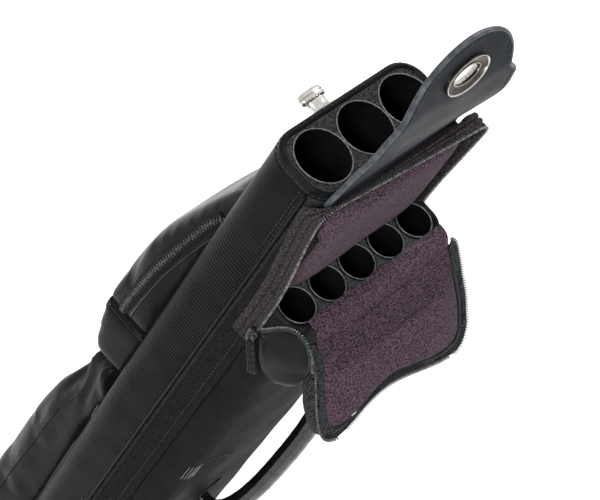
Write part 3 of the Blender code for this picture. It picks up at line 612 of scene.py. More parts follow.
# Case walls
RIB_PITCH = 0.0034
RIB_DEPTH = 0.00095
RIB_ROUND = 0.45
RIB_FADE = (0.30, 0.46)
RIB_FADED = 0.65
RIB_START = (0.03, 0.13)
RIB_START_SHARE = 0.15
RIB_MARGINS = (0.08, 0.13)
SEAM_INSETS = (0.0022, 0.0046)
SEAM_TOP_GAP = 0.003
RIM_TUCK = 0.0002
RIM_CORNER_STEPS = 14
RIM_STITCH_HEIGHT = 0.0026
TUBE_SIDES = 80
LIP_EASE = 0.3
LIP_HIGHLIGHT_REACH = 1.2
BUTT_HOLE_SIDES = 64
SHAFT_HOLE_SIDES = 48
FELT_DROP = 0.0006
FOAM_RISE = 0.002
FRONT_CORNER = (-SHELL_X + SHELL_CORNER, -SHELL_Y + SHELL_CORNER)


def side_path():
    """Plan of the ribbed wall's outer face, from the back seam round to the front seam, with its normals."""
    back = (-SHELL_X + SHELL_CORNER, SHELL_Y - SHELL_CORNER)
    seam = 180 + FRONT_SEAM_ANGLE
    points = arc(back, SHELL_CORNER, 90, 180, CORNER_STEPS)
    normals = arc((0, 0), 1.0, 90, 180, CORNER_STEPS)
    for i in range(1, 4):
        points.append((back[0] - SHELL_CORNER, back[1] - (back[1] - FRONT_CORNER[1]) * i / 4))
        normals.append((-1.0, 0.0))
    return points + arc(FRONT_CORNER, SHELL_CORNER, 180, seam, 4), normals + arc((0, 0), 1.0, 180, seam, 4)


def rib_height(z, share):
    """Height of the pressed ribs: low at the rim, then full, fading down the case and towards the seams."""
    drop = MOUTH - z
    fade = 1.0 - RIB_FADED * ramp(drop, *RIB_FADE)
    edge = min(1.0, share / RIB_MARGINS[0], (1.0 - share) / RIB_MARGINS[1])
    start = RIB_START_SHARE + (1 - RIB_START_SHARE) * ease(drop, *RIB_START)
    wave = math.sin(math.pi * (z / RIB_PITCH % 1.0)) ** RIB_ROUND
    return RIB_DEPTH * wave * fade * start * max(0.0, edge)


def build_side(label, sign):
    """Leather side wall pressed with level ribs, with two rows of stitches along its front seam."""
    plan, normals = side_path()
    low = FLOOR_Z
    high = RIM_LOW.z + RIM_TUCK
    rows = []
    for z in levels(low, high, round((high - low) / (RIB_PITCH / 4))):
        row = []
        for c, ((x, y), (nx, ny)) in enumerate(zip(plan, normals)):
            h = rib_height(z, c / (len(plan) - 1))
            row.append(Vector((sign * (x + nx * h), y + ny * h, z)))
        rows.append(row)
    wall = piece(f"{label}_leather", lofted(rows, wrap_cols=False), "ribbed", f"{label}_panel")
    thicken(wall, SHELL_WALL - SKIN_EASE, -1.0)
    for number, inset in enumerate(SEAM_INSETS):
        angle = 180 + FRONT_SEAM_ANGLE - math.degrees(inset / SHELL_CORNER)
        x, y = on_circle(FRONT_CORNER, SHELL_CORNER, angle)
        nx, ny = on_circle((0, 0), 1.0, angle)
        path = [Vector((sign * x, y, low + STITCH_SETBACK)), Vector((sign * x, y, high - SEAM_TOP_GAP))]
        stitched(f"{label}_stitch_{number}", path, [Vector((sign * nx, ny, 0))])


def shell_outline(inset, steps):
    low = (-SHELL_X + inset, -SHELL_Y + inset)
    return rounded_rect(low, (SHELL_X - inset, SHELL_Y - inset), SHELL_CORNER - inset, steps)


def build_rim():
    """Leather-bound rim with a rounded top and a stitched outer edge."""
    half = RIM_WIDTH / 2
    shoulder = RIM_HIGH.z - RIM_LOW.z - half
    round_top = [math.pi * (1 - i / 8) for i in range(1, 8)]
    section = [(-half, 0.0), (-half, shoulder)]
    section += [(half * math.cos(a), shoulder + half * math.sin(a)) for a in round_top]
    section += [(half, shoulder), (half, 0.0)]
    path = resample([Vector((x, y, RIM_LOW.z)) for x, y in shell_outline(half, RIM_CORNER_STEPS)],
                    COARSE_STEP, closed=True)
    piece("rim_binding", sweep(path, [Z_WAY] * len(path), section, closed=True), "smooth", "top_rim")
    ring = [Vector((x, y, RIM_LOW.z + RIM_STITCH_HEIGHT)) for x, y in shell_outline(0.0, RIM_CORNER_STEPS)]
    ring = resample(ring, STITCH_PITCH, closed=True)
    outs = [t.cross(Z_WAY) for t in tangents(ring, True)]
    stitched("rim_stitch", ring, outs, closed=True, lift=GAP / 2)


def build_tube(label, x, y, bore, outer, mouth):
    """A tube with an eased lip whose lighter colour near the mouth is a painted highlight."""
    lip = (outer - bore) / 2
    eased = lip * LIP_EASE
    profile = [(outer, FLOOR_Z), (outer, mouth - lip), (outer - eased, mouth - eased), (outer - lip, mouth),
               (bore + eased, mouth - eased), (bore, mouth - lip), (bore, FLOOR_Z)]
    rows = [[Vector((x + r * c, y + r * s, z)) for r, z in profile] for c, s in circle(TUBE_SIDES)]
    tube = piece(label.replace("tube", "sleeve"), lofted(rows, wrap_rows=True), "tube", label)
    # Painted highlight: the faces near the mouth get the lighter lip colour
    recoat(tube, "lip", lambda face: face.center.z > mouth - lip * LIP_HIGHLIGHT_REACH)


def holes(centers, y, radius, sides):
    return [arc((x, y), radius + GAP, 0, 360 - 360 / sides, sides - 1) for x in centers]


def build_tubes_and_decks():
    for i, x in enumerate(BUTT_X, 1):
        build_tube(f"butt_tube_{i}", x, 0.0, BUTT_BORE, BUTT_OUTER, MOUTH)
    for i, x in enumerate(SHAFT_X, 1):
        build_tube(f"shaft_tube_{i}", x, SHAFT_Y, SHAFT_BORE, SHAFT_OUTER, SHAFT_MOUTH)
    outlines = [shell_outline(RIM_WIDTH + GAP, CORNER_STEPS)] + holes(BUTT_X, 0, BUTT_OUTER, BUTT_HOLE_SIDES)
    filled("felt_deck", outlines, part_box("butt_deck")[0].z, MOUTH - FELT_DROP, "felt", "butt_deck")
    low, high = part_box("shaft_deck")
    outlines = [rounded_rect((low.x, low.y), (high.x, high.y), COMPARTMENT_CORNER - COMPARTMENT_WALL)]
    outlines += holes(SHAFT_X, SHAFT_Y, SHAFT_OUTER, SHAFT_HOLE_SIDES)
    filled("shaft_foam_deck", outlines, low.z, high.z + FOAM_RISE, "foam", "shaft_deck")


build_side("ribbed_side", 1)
build_side("far_side", -1)
build_rim()
build_tubes_and_decks()

# Lid
LID_LEANS = (99.0, 86.5, 69.3)
LID_TWISTS = (4.6, -2.6, -4.4)
LID_SKIN = 0.0029
LID_BASE_HALF = 0.068
LID_LENGTH = 0.120
CREASE_AT = 0.0803
LID_BEND = 0.010
CREASE_SOFT = 0.0060
TWIST_TURNS = ((0.030, 0.060), (CREASE_AT - 0.006, CREASE_AT + 0.010))
LID_TAPER = (0.004, CREASE_AT - 0.018)
SHOULDER_AT = CREASE_AT + 0.005
LID_END_ROUND = (2.3, 1.9)
LOBE_ENDS = {-1: (0.056, 0.100), 1: (CREASE_AT - 0.015, CREASE_AT + 0.002)}
LID_COLUMNS = 36
LID_ROWS = 40
LID_END_ROWS = 16
LEAST_HALF = 0.0005
LID_EDGE_INSET = 0.0006
LID_BEAD = LID_SKIN / 2 + 0.0004
BEAD_FLATNESS = 0.8
HINGE_ROLL = LEATHER / 2 + 0.0003
HINGE_ROLL_STEPS = 40
EYELET_SIDES = 72
LID_SEAM_INSET = 0.0042
EYELET_AT = CREASE_AT + CREASE_TO_EYELET
EYELET_HOLE = (0.0150, 0.0088)
EYELET_DISHED = (0, 1, 3, 4, 5, 8, 9)
EYELET_SECTION = ((0.0, -0.0022), (0.0, 0.0005), (0.03, 0.0010), (0.09, 0.0010), (0.16, 0.0004),
                  (0.60, 0.0008), (0.84, 0.0019), (0.90, 0.0026), (0.96, 0.0024), (1.0, 0.0010),
                  (1.0, -0.0006))
EYELET_BACK = ((0.0, 0.0020), (0.0, -0.0009), (0.1, -0.0013), (0.85, -0.0012), (1.0, -0.0004), (1.0, 0.0003))


def lid_angle(s, x):
    """Lean of the leather at a distance along it: the fold, the crease and a twist across."""
    fold = ease(s, LID_PANEL - LID_BEND, LID_PANEL + LID_BEND)
    crease = ease(s, CREASE_AT - CREASE_SOFT, CREASE_AT + CREASE_SOFT)
    lean = LID_LEANS[0] + (LID_LEANS[1] - LID_LEANS[0]) * fold + (LID_LEANS[2] - LID_LEANS[1]) * crease
    twist = LID_TWISTS[0] + (LID_TWISTS[1] - LID_TWISTS[0]) * ease(s, *TWIST_TURNS[0])
    twist += (LID_TWISTS[2] - LID_TWISTS[1]) * ease(s, *TWIST_TURNS[1])
    return lean + twist * x / LID_HALF_WIDTH


def lid_point(x, s, height=0.0):
    """A point of the lid's leather, height counted towards its outer face."""
    steps = max(1, round(s / FINE_STEP))
    point = HINGE + Vector((x, 0, 0))
    for i in range(steps):
        point += direction(lid_angle(s * (i + 0.5) / steps, x)) * (s / steps)
    return point + lid_normal(x, s) * height if height else point


def lid_normal(x, s):
    """Outward normal of the lid's leather, with its twist."""
    across = lid_point(x + FINE_STEP, s) - lid_point(x - FINE_STEP, s)
    return across.cross(direction(lid_angle(s, x))).normalized()


def lid_half(s, side):
    """Half width of the lid: wide at its hinge and lobes, narrower past the crease, then a round end."""
    half = LID_BASE_HALF + (LID_HALF_WIDTH - LID_BASE_HALF) * ease(s, *LID_TAPER)
    half += (TONGUE_HALF_WIDTH - LID_HALF_WIDTH) * ease(s, *LOBE_ENDS[side])
    t = ramp(s, SHOULDER_AT, LID_LENGTH)
    return half * (1 - t ** LID_END_ROUND[0]) ** (1 / LID_END_ROUND[1])


def lid_stations():
    ends = [math.sin(math.pi / 2 * i / LID_END_ROWS) for i in range(1, LID_END_ROWS + 1)]
    return levels(0.0, SHOULDER_AT, LID_ROWS) + [SHOULDER_AT + (LID_LENGTH - SHOULDER_AT) * e for e in ends]


def lid_edge(inset, start=0.0, height=0.0):
    """Points and normals round the lid's free edge, drawn in by an inset."""
    stations = [s for s in lid_stations() if s >= start]
    path = [Vector((lid_half(s, 1), s, 0)) for s in stations]
    path += [Vector((-lid_half(s, -1), s, 0)) for s in reversed(stations[:-1])]
    path = resample(path, FINE_STEP)
    edge = [p + Vector((-t.y, t.x, 0)) * inset for p, t in zip(path, tangents(path))]
    return [lid_point(p.x, p.y, height) for p in edge], [lid_normal(p.x, p.y) for p in edge]


def blended_lid(sheet):
    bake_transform(sheet)


def build_lid():
    """One leather sheet with a rolled edge and a line of stitches, bent across the fold."""
    rows = []
    for s in lid_stations():
        left = -max(lid_half(s, -1), LEAST_HALF)
        right = max(lid_half(s, 1), LEAST_HALF)
        rows.append([lid_point(x, s) for x in levels(left, right, LID_COLUMNS)])
    verts, faces = lofted(rows, wrap_cols=False)
    eyelet = lid_point(0, EYELET_AT)
    along = direction(lid_angle(EYELET_AT, 0))
    kept = []
    for face in faces:
        center = sum((verts[i] for i in face), Vector()) / 4 - eyelet
        if (center.x / EYELET_HOLE[0]) ** 2 + (center.dot(along) / EYELET_HOLE[1]) ** 2 > 1:
            kept.append(face)
    sheet = piece("lid_leather", (verts, kept), "slate", "lid_panel", "lid_tongue", body=None)
    thicken(sheet, LID_SKIN)
    bake(sheet)
    blended_lid(sheet)
    shape = sweep(*lid_edge(LID_EDGE_INSET), circle(ROLL_SIDES, BEAD_FLATNESS * LID_BEAD, LID_BEAD))
    # Painted highlight: the rolled edge is painted lighter than the lid's leather
    blended_lid(piece("lid_rolled_edge", shape, "slate_edge_painted_highlight", body=None))
    seam, ups = lid_edge(LID_SEAM_INSET, STITCH_SETBACK, LID_SKIN / 2)
    blended_lid(stitched("lid_stitch", seam, ups, None))
    roll = [lid_point(LID_BASE_HALF * t, 0.0) for t in levels(-1.0, 1.0, HINGE_ROLL_STEPS)]
    rod("lid_hinge_roll", roll, HINGE_ROLL, "slate", sides=ROLL_SIDES)


def eyelet_ring(name, height, section, replaces):
    """A metal oval ring on the tongue from a section of (share from slot to rim, height)."""
    out = lid_normal(0, EYELET_AT)
    along = direction(lid_angle(EYELET_AT, 0))
    across = along.cross(out).normalized()
    center = lid_point(0, EYELET_AT, height)
    rows = []
    for c, d in circle(EYELET_SIDES):
        row = []
        for share, lift in section:
            x = (SLOT_HALF[0] + (EYELET_HALF[0] - SLOT_HALF[0]) * share) * c
            y = (SLOT_HALF[1] + (EYELET_HALF[1] - SLOT_HALF[1]) * share) * d
            row.append(center + across * x + along * y + out * lift)
        rows.append(row)
    return piece(name, lofted(rows, wrap_rows=True), "nickel", replaces, body="lid_tongue")


def build_eyelet():
    """Dished oval plate on the outer face, plain plate behind it."""
    plate = eyelet_ring("eyelet_rim", LID_SKIN / 2, EYELET_SECTION, "eyelet_plate")
    recoat(plate, "dish", lambda face: face.index % len(EYELET_SECTION) in EYELET_DISHED)
    eyelet_ring("eyelet_back_rim", -LID_SKIN / 2, EYELET_BACK, "eyelet_back_plate")


# Turn lock: flange and knob as shares of their nodes, the post in metres from the base's two faces
LOCK_FLANGE = ((0.0, 1.0, 1.0), (0.0012, 1.0, 1.0), (0.0020, 0.97, 0.95), (0.0026, 0.90, 0.86),
               (0.0031, 0.74, 0.66))
LOCK_FOOT = ((0.0034, 0.0086, 0.0050), (0.0040, 0.0074, 0.0042))
LOCK_HEAD = ((-0.0030, 0.0070, 0.0038), (-0.0012, 0.0075, 0.0042), (0.0, 0.0078, 0.0043))
KNOB = ((0.0, 0.80, 0.72), (0.05, 0.92, 0.90), (0.14, 0.99, 0.99), (0.40, 1.0, 1.0), (0.44, 0.95, 0.92),
        (0.50, 0.95, 0.92), (0.54, 1.0, 1.0), (0.80, 0.99, 0.97), (0.92, 0.91, 0.84), (0.98, 0.74, 0.60),
        (1.0, 0.45, 0.34))
LOCK_SIDES = 48


def oval_halves(low, high):
    return (high.x - low.x) / 2, (high.z - low.z) / 2


def oval_loft(name, stations, replaces, body):
    """A nickel solid along +Y round the lock's axis from (y, half x, half z) ovals."""
    rows = []
    for y, a, b in stations:
        rows.append([Vector((LOCK.x + a * c, y, LOCK.z + b * s)) for c, s in circle(LOCK_SIDES)])
    piece(name, lofted(rows), "nickel", replaces, body=body)


def build_lock():
    """Stepped oval base with a waisted post, and a rounded turning knob."""
    low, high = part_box("lock_base")
    half_x, half_z = oval_halves(low, high)
    base = [(low.y + y, half_x * a, half_z * b) for y, a, b in LOCK_FLANGE]
    base += [(low.y + y, a, b) for y, a, b in LOCK_FOOT] + [(high.y + y, a, b) for y, a, b in LOCK_HEAD]
    oval_loft("lock_post", base, "lock_base", "case")
    low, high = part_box("lock_knob")
    half_x, half_z = oval_halves(low, high)
    knob = [(low.y + (high.y - low.y) * t, half_x * a, half_z * b) for t, a, b in KNOB]
    oval_loft("turn_knob", knob, "lock_knob", "lock_knob")


build_lid()
build_eyelet()
build_lock()

# Opening of the shaft compartment: strips as (behind the open edge, outward) points
ZIP_FRONT = -0.0416
ZIP_LEAN = 0.0031
ZIP_LEAN_START = MOUTH - 0.115
ZIP_SKEW = 0.0062
LID_ROOM = HINGE.y - 0.0052
LEAST_ROOM = 0.1
GUSSET_DEPTH = 0.016
TAPE_STRIP = ((0.0006, -0.0016), (0.0000, -0.0006), (0.0004, 0.0004), (0.0034, 0.0008), (0.0050, 0.0004),
              (0.0054, -0.0004), (0.0050, -0.0020))
GUSSET_STRIP = ((0.0052, -0.0022), (0.0050, 0.0000), (0.0060, 0.0012), (0.0076, 0.0018), (0.0092, 0.0012),
                (0.0099, 0.0000), (0.0106, 0.0013), (0.0128, 0.0018), (0.0152, 0.0010), (0.0160, -0.0022))
TEETH_INSET = 0.0006
TEETH_BACK = 0.0012
TEETH_RAISE = 0.0004
OPENING_STITCH_BACK = 0.0036
OPENING_STITCH_RAISE = 0.0013
TEETH_FLARE = 0.35


def u_path(inset):
    """Path up one side of the opening, over its top and down the other, with its outward normals in XZ."""
    half = SIDE_X - inset
    inner = ZIP_HIGH.z - inset - PANEL_CORNER
    points = [(half, ZIP_LOW.z)] + arc((half - PANEL_CORNER, inner), PANEL_CORNER, 0, 90, CORNER_STEPS)
    points += arc((-half + PANEL_CORNER, inner), PANEL_CORNER, 90, 180, CORNER_STEPS) + [(-half, ZIP_LOW.z)]
    path = resample([Vector((x, 0, z)) for x, z in points], PATH_STEP)
    return path, [Vector((t.z, 0, -t.x)) for t in tangents(path)]


def zip_y(point):
    """The open edge leans back towards its top, and more at the ribbed side."""
    rise = ease(point.z, ZIP_LEAN_START, ZIP_HIGH.z)
    return ZIP_FRONT + ZIP_LEAN * rise - ZIP_SKEW * point.x / SIDE_X * ease(point.z, SHAFT_MOUTH, ZIP_HIGH.z)


def behind_zip(point, out, reach):
    """A move back from the open edge, kept in front of the lid's leather along the top."""
    y = zip_y(point)
    room = max(LEAST_ROOM, min(1.0, (LID_ROOM - y) / GUSSET_DEPTH))
    return Vector((0, y + reach * (1 + (room - 1) * max(0.0, out.z)), 0))


def u_strip(name, section, slot, replaces):
    """A closed strip of nylon round the opening."""
    rows = [[p + o * n + behind_zip(p, o, f) for f, n in section] for p, o in zip(*u_path(0.0))]
    piece(name, lofted(rows), "plum_nylon", replaces, slot=slot)


def build_opening():
    """Zip tape, nylon gusset, zip teeth and stitches round the open edge."""
    u_strip("opening_zip_tape", TAPE_STRIP, "black_zip", "fixed_zip")
    u_strip("opening_gusset", GUSSET_STRIP, "black_nylon", "top_gusset")
    path, outs = u_path(TEETH_INSET)
    front = [p + Vector((0, zip_y(p) + TEETH_BACK, 0)) + o * TEETH_RAISE for p, o in zip(path, outs)]
    ways = [(o * TEETH_FLARE - Y_WAY).normalized() for o in outs]
    toothed("opening_zip_teeth", front, ways, outs)
    seam = [p + o * OPENING_STITCH_RAISE + behind_zip(p, o, OPENING_STITCH_BACK) for p, o in zip(path, outs)]
    stitched("opening_stitch", seam, outs)


# Sides and front of the shaft compartment
GUSSET_SEAM_ANGLE = 210
GUSSET_PLEATS = ((0.0014, 0.45, 0.09), (-0.0010, 0.66, 0.06))
GUSSET_RIPPLE = 0.0004
GUSSET_WAVES = (190, 5)
GUSSET_COLUMNS = 24
GUSSET_START = (0.0004, 0.0030)
GUSSET_BEND = (0.0006, 0.0004)
GUSSET_END_GAP = 0.0012
GUSSET_SKIN = COMPARTMENT_WALL - 0.0006
PIPING_ROWS = 40
GUSSET_STITCHES = (0.10, 0.90)
FRONT_BULGE = 0.0022
FRONT_CROWN = 0.8
FRONT_SEAM = SIDE_X - 0.010
FRONT_SEAM_WIDTH = 0.0012
FRONT_SEAM_DEPTH = 0.0008
FRONT_RIPPLE = 0.00035
FRONT_WAVES = (75, 60, 31, 45)
FRONT_FADES = (0.05, 0.06)
FRONT_ROWS = 110
FRONT_COLUMNS = 24
FRONT_CORNER_STEPS = 10
FRONT_ZIP_GAP = 0.0004
FRONT_BINDING = 0.0019
BINDING_INSET = 0.0012
BINDING_DROP = 0.0006
WELT = ((0.0, -0.0002), (0.25, 0.0006), (0.5, 0.0009), (0.75, 0.0006), (1.0, -0.0002), (1.0, -0.0020),
        (0.0, -0.0020))


def side_gusset(label, sign):
    """Soft strip from the zip band back to the case wall, stitched along both its edges."""
    start = Vector((-SIDE_X + GUSSET_START[0], ZIP_HIGH.y - GUSSET_START[1], 0))
    seam_way = Vector((*on_circle((0, 0), 1.0, GUSSET_SEAM_ANGLE), 0))
    end = Vector((*FRONT_CORNER, 0)) + seam_way * (SHELL_CORNER + GUSSET_END_GAP)
    bend = Vector((start.x - GUSSET_BEND[0], end.y - GUSSET_BEND[1], 0))

    def curve(t):
        return start * (1 - t) ** 2 + bend * 2 * t * (1 - t) + end * t ** 2

    low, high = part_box(f"{label}_gusset")
    rows = []
    for z in levels(low.z, high.z, WALL_ROWS):
        row = []
        for t in levels(0.0, 1.0, GUSSET_COLUMNS):
            p = curve(t)
            wave = math.sin(z * GUSSET_WAVES[0] + t * GUSSET_WAVES[1])
            ripple = GUSSET_RIPPLE * wave * math.sin(math.pi * t)
            pleat = sum(depth * bell(t, middle, width) for depth, middle, width in GUSSET_PLEATS)
            row.append(Vector((sign * (p.x - ripple - pleat), p.y, z)))
        rows.append(row)
    strip = piece(f"{label}_nylon", lofted(rows, wrap_cols=False), "dark_nylon", f"{label}_gusset")
    thicken(strip, GUSSET_SKIN, -1.0)
    for number, t in enumerate(GUSSET_STITCHES):
        p = curve(t)
        slope = (bend - start) * (1 - t) + (end - bend) * t
        out = Vector((-slope.y, slope.x, 0)).normalized()
        if out.x > 0:
            out = -out
        path = [Vector((sign * p.x, p.y, z)) for z in (low.z + STITCH_SETBACK, high.z - STITCH_SETBACK)]
        stitched(f"{label}_stitch_{number}", path, [Vector((sign * out.x, out.y, 0))])


def build_piping(label):
    low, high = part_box(f"{label}_piping")
    x = mid(f"{label}_piping", 0)
    y = mid(f"{label}_piping", 1)
    points = [Vector((x, y, z)) for z in levels(low.z, high.z, PIPING_ROWS)]
    rod(f"{label}_edge_roll", points, (high.x - low.x) / 2, "smooth", f"{label}_piping", up=Y_WAY)


def front_crown(x, bulge):
    return bulge * math.cos(math.pi / 2 * x / (SIDE_X - COMPARTMENT_CORNER)) ** FRONT_CROWN


def front_plan(offset, bulge):
    """Plan of the front panel from one zip band round the front to the other, with its normals."""
    center = (-SIDE_X + COMPARTMENT_CORNER, FRONT_Y + COMPARTMENT_CORNER)
    back = ZIP_LOW.y - FRONT_ZIP_GAP
    half = [((-SIDE_X - offset, back + (center[1] - back) * i / 4), (-1.0, 0.0)) for i in range(4)]
    corner = arc(center, COMPARTMENT_CORNER + offset, 180, 270, FRONT_CORNER_STEPS)
    half += list(zip(corner, arc((0, 0), 1.0, 180, 270, FRONT_CORNER_STEPS)))
    flat = levels(center[0], -center[0], FRONT_COLUMNS)[1:-1]
    middle = [((x, FRONT_Y - offset - front_crown(x, bulge)), (0.0, -1.0)) for x in flat]
    return half + middle + [((-x, y), (-nx, ny)) for (x, y), (nx, ny) in reversed(half)]


def build_front():
    """Front leather, slightly crowned and rippled, with a bound top edge and a seam down each corner."""
    low = FLOOR_Z
    high = FRONT_HIGH.z
    a, b, c, d = FRONT_WAVES
    rows = []
    for z in levels(low, high, FRONT_ROWS):
        bulge = FRONT_BULGE * ease(z, low, low + FRONT_FADES[0]) * (1 - ease(z, high - FRONT_FADES[1], high))
        row = []
        for (x, y), (nx, ny) in front_plan(0.0, bulge):
            lift = FRONT_RIPPLE * math.sin(z * a + x * b) * math.sin(z * c - x * d + 1.0)
            if ny < -0.5:
                lift -= FRONT_SEAM_DEPTH * bell(abs(x), FRONT_SEAM, FRONT_SEAM_WIDTH)
            row.append(Vector((x + nx * lift, y + ny * lift, z)))
        rows.append(row)
    panel = piece("front_leather", lofted(rows, wrap_cols=False), "matte", "shaft_front_panel")
    thicken(panel, COMPARTMENT_WALL - SKIN_EASE, -1.0)
    path = [Vector((x, y, high - BINDING_DROP)) for (x, y), _ in front_plan(-BINDING_INSET, 0.0)]
    rod("front_top_binding", resample(path, PATH_STEP), FRONT_BINDING, "smooth")


def build_welt(label, sign):
    """Soft band over the seam between the front panel and the gusset."""
    low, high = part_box(f"{label}_seam_band")
    rows = []
    for z in levels(low.z, high.z, WALL_ROWS):
        rows.append([Vector((sign * (SIDE_X + n), low.y + (high.y - low.y) * t, z)) for t, n in WELT])
    piece(f"{label}_welt", lofted(rows), "dark_nylon", f"{label}_seam_band", slot="black_leather")


build_opening()
side_gusset("ribbed_side", 1)
side_gusset("far_side", -1)
build_piping("ribbed_side")
build_piping("far_side")
build_front()
build_welt("ribbed_side", -1)
build_welt("far_side", 1)


# Back pad and flap
def build_back_pad():
    """Soft pad behind the shaft mouths."""
    pad = stuffed("shaft_back_cushion", "shaft_back_pad", voxel=0.004, pressure=3.0, cap=0.004,
                  material="plum", shrink=0.0008)
    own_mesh(pad)


FLAP_OUT = direction(270 + FLAP_HANG)
FLAP_SPREAD = {-1: (0.11, 0.020, 0.070), 1: (0.10, -0.030, -0.002)}
FLAP_DRAWN_IN = (0.05, 0.086)
FLAP_DRAWN_SHARE = 0.75
FLAP_SHORT_SIDE = 0.06
FLAP_SHORT_FROM = (-0.010, 0.060)
FLAP_HOLLOW = 0.013
HOLLOW_SHIFT = 0.010
HOLLOW_ROUND = 1.5
FLAP_START = 0.004
FLAP_CORNER = 0.016
FLAP_FOLD_CORNER = 0.010
FLAP_MIDDLE = Vector((0, 0.045, 0))
FLAP_RINGS = (0.0, 0.06, 0.16, 0.30, 0.5, 0.75)
FLAP_FACE_DEPTHS = (0.0012, 0.0030)
FLAP_BACK_DEPTHS = (0.0008, 0.0112, 0.0020)
FLAP_THICKENS = (0.008, 0.046)
FLAP_ROUNDS = (0.0, 0.030)
FLAP_SIDE_NORMAL = 0.55
FLAP_BORDER = 0.0092
FLAP_FREE_FROM = 0.0012
FLAP_END_TURN = 80
FLAP_BLANK_INSET = 0.002
FLAP_CROWN_RATE = 2.5
FLAP_EDGE_STEP = 0.0015
FLAP_FACE = 0.002
RAY_START = 0.05
FLAP_TAPE_SKIN = 0.0009
FLAP_TAPE_COUNT = 150
FLAP_TEETH_COUNT = 120
FLAP_TEETH_LEAN = 0.45
FLAP_TAPE = ((0.0020, 0.0010), (0.0040, 0.0017), (0.0066, 0.0017), (FLAP_BORDER + 0.0006, 0.0013))
FLAP_TEETH = (0.0030, 0.0012)
LINING_HALF = FLAP_HALF_WIDTH - FLAP_BORDER
LINING_START = -0.0040
LINING_CORNER = 0.012
LINING_BEND = (-0.003, 0.009)
LINING_ON_FLAP = (0.004, 0.016)
LINING_LIFT = 0.0007
LINING_TUCK = 0.0012
LINING_SKIN = 0.0006
LINING_PLEATS = (0.013, 0.043)
PLEAT_PITCH = 0.0023
PLEAT_HEIGHT = 0.00085
PLEAT_FADE_IN = 0.004
PLEAT_FADE_OUT = 0.010
LINING_TUCK_FROM = 0.95
LINING_RISE = 0.0030
LINING_ROWS = 110
LINING_COLUMNS = 48
BEND_STEPS = 12
LEATHER_TURN = 0.0085


def flap_x(x, along):
    """The flap flares: to the far side near its fold, and to the ribbed side near its end."""
    share, start, end = FLAP_SPREAD[1 if x > 0 else -1]
    flare = share * ease(along, start, end)
    if x > 0:
        flare *= 1 - FLAP_DRAWN_SHARE * ease(along, *FLAP_DRAWN_IN)
    return x * (1 + flare)


def flap_way(x, along):
    return Vector((x, 0, 0)) + direction(180 + FLAP_HANG) * along


def flap_point(x, along, height):
    """A place on the flap as it hangs, height counted towards its outer face."""
    reach = along * (1 - FLAP_SHORT_SIDE * ease(-x, *FLAP_SHORT_FROM) * along / FLAP_LENGTH)
    return FLAP_AXIS + flap_way(flap_x(x, along), reach) + FLAP_OUT * height


def hollow(x, reach):
    """How far the flap's end is drawn in at a place across it."""
    from_middle = min(1.0, abs(x + HOLLOW_SHIFT * (1 - (x / reach) ** 2)) / reach)
    return FLAP_HOLLOW * math.cos(math.pi / 2 * from_middle) ** HOLLOW_ROUND


def flap_outline(inset, step=PATH_STEP):
    """(x, along) round the flap: straight fold, round corners and a hollow end."""
    half = FLAP_HALF_WIDTH - inset
    end = FLAP_LENGTH - inset
    corner = FLAP_CORNER - inset / 2
    turn = FLAP_FOLD_CORNER - inset / 2
    start = FLAP_START + inset + turn
    reach = half - corner
    points = arc((-half + turn, start), turn, 180, 270, 6) + arc((half - turn, start), turn, 270, 360, 6)
    points += arc((reach, end - corner), corner, 0, FLAP_END_TURN, 8)
    points += [(x, end - hollow(x, reach)) for x in [reach * (1 - i / 8) for i in range(1, 16)]]
    points += arc((-half + corner, end - corner), corner, 180 - FLAP_END_TURN, 180, 8)
    return resample([Vector((x, y, 0)) for x, y in points], step, closed=True)


def flap_blank():
    """The flap's stuffed form before it is blown up: a pillow thicker towards its end."""
    outline = flap_outline(FLAP_BLANK_INSET)
    face, crown = FLAP_FACE_DEPTHS
    edge, deep, round_back = FLAP_BACK_DEPTHS
    rings = []
    for share in reversed(FLAP_RINGS):
        lift = -face - crown * math.sqrt(min(1, share * FLAP_CROWN_RATE))
        rings.append([flap_point(*(p.lerp(FLAP_MIDDLE, share).xy), lift) for p in outline])
    for share in FLAP_RINGS:
        ring = []
        for p in outline:
            q = p.lerp(FLAP_MIDDLE, share)
            depth = edge + deep * ease(q.y, *FLAP_THICKENS)
            depth += round_back * math.sqrt(min(1, share * FLAP_CROWN_RATE)) * ease(q.y, *FLAP_ROUNDS)
            ring.append(flap_point(q.x, q.y, depth))
        rings.append(ring)
    return lofted(rings)


def flap_edge(inset, count):
    """(x, along) from one end of the fold round the flap's free sides to the other."""
    outline = flap_outline(inset, FLAP_EDGE_STEP)
    fold = min(p.y for p in outline)
    free = [p for p in outline if p.y > fold + FLAP_FREE_FROM]
    first = max(range(len(free)), key=lambda i: (free[i] - free[i - 1]).length)
    free = free[first:] + free[:first]
    total = sum((b - a).length for a, b in zip(free, free[1:]))
    path = resample(free, total / count)
    return path[:count] + [path[-1]] * (count - len(path))


def flap_surface(tree, x, along, lift):
    """A place on the flap's lining face, lifted a little."""
    place = tree.ray_cast(flap_point(x, along, -RAY_START), FLAP_OUT)[0]
    return flap_point(x, along, -FLAP_FACE - lift) if place is None else place - FLAP_OUT * lift


def lining_end(x):
    """How far the lining reaches along the flap at a place across it."""
    end = FLAP_LENGTH - FLAP_BORDER
    reach = LINING_HALF - LINING_CORNER
    if abs(x) > reach:
        return end - LINING_CORNER + math.sqrt(max(0.0, LINING_CORNER ** 2 - (abs(x) - reach) ** 2))
    return end - hollow(x, reach)


def bend_point(x, along):
    """The lining where it leaves the deck and turns down over the fold."""
    point = Vector((flap_x(x, along), FLAP_AXIS.y - LINING_START, SHAFT_MOUTH + LINING_RISE))
    length = along - LINING_START
    for i in range(BEND_STEPS):
        at = LINING_START + length * (i + 0.5) / BEND_STEPS
        point += direction(180 + FLAP_HANG * ease(at, *LINING_BEND)) * (length / BEND_STEPS)
    return point


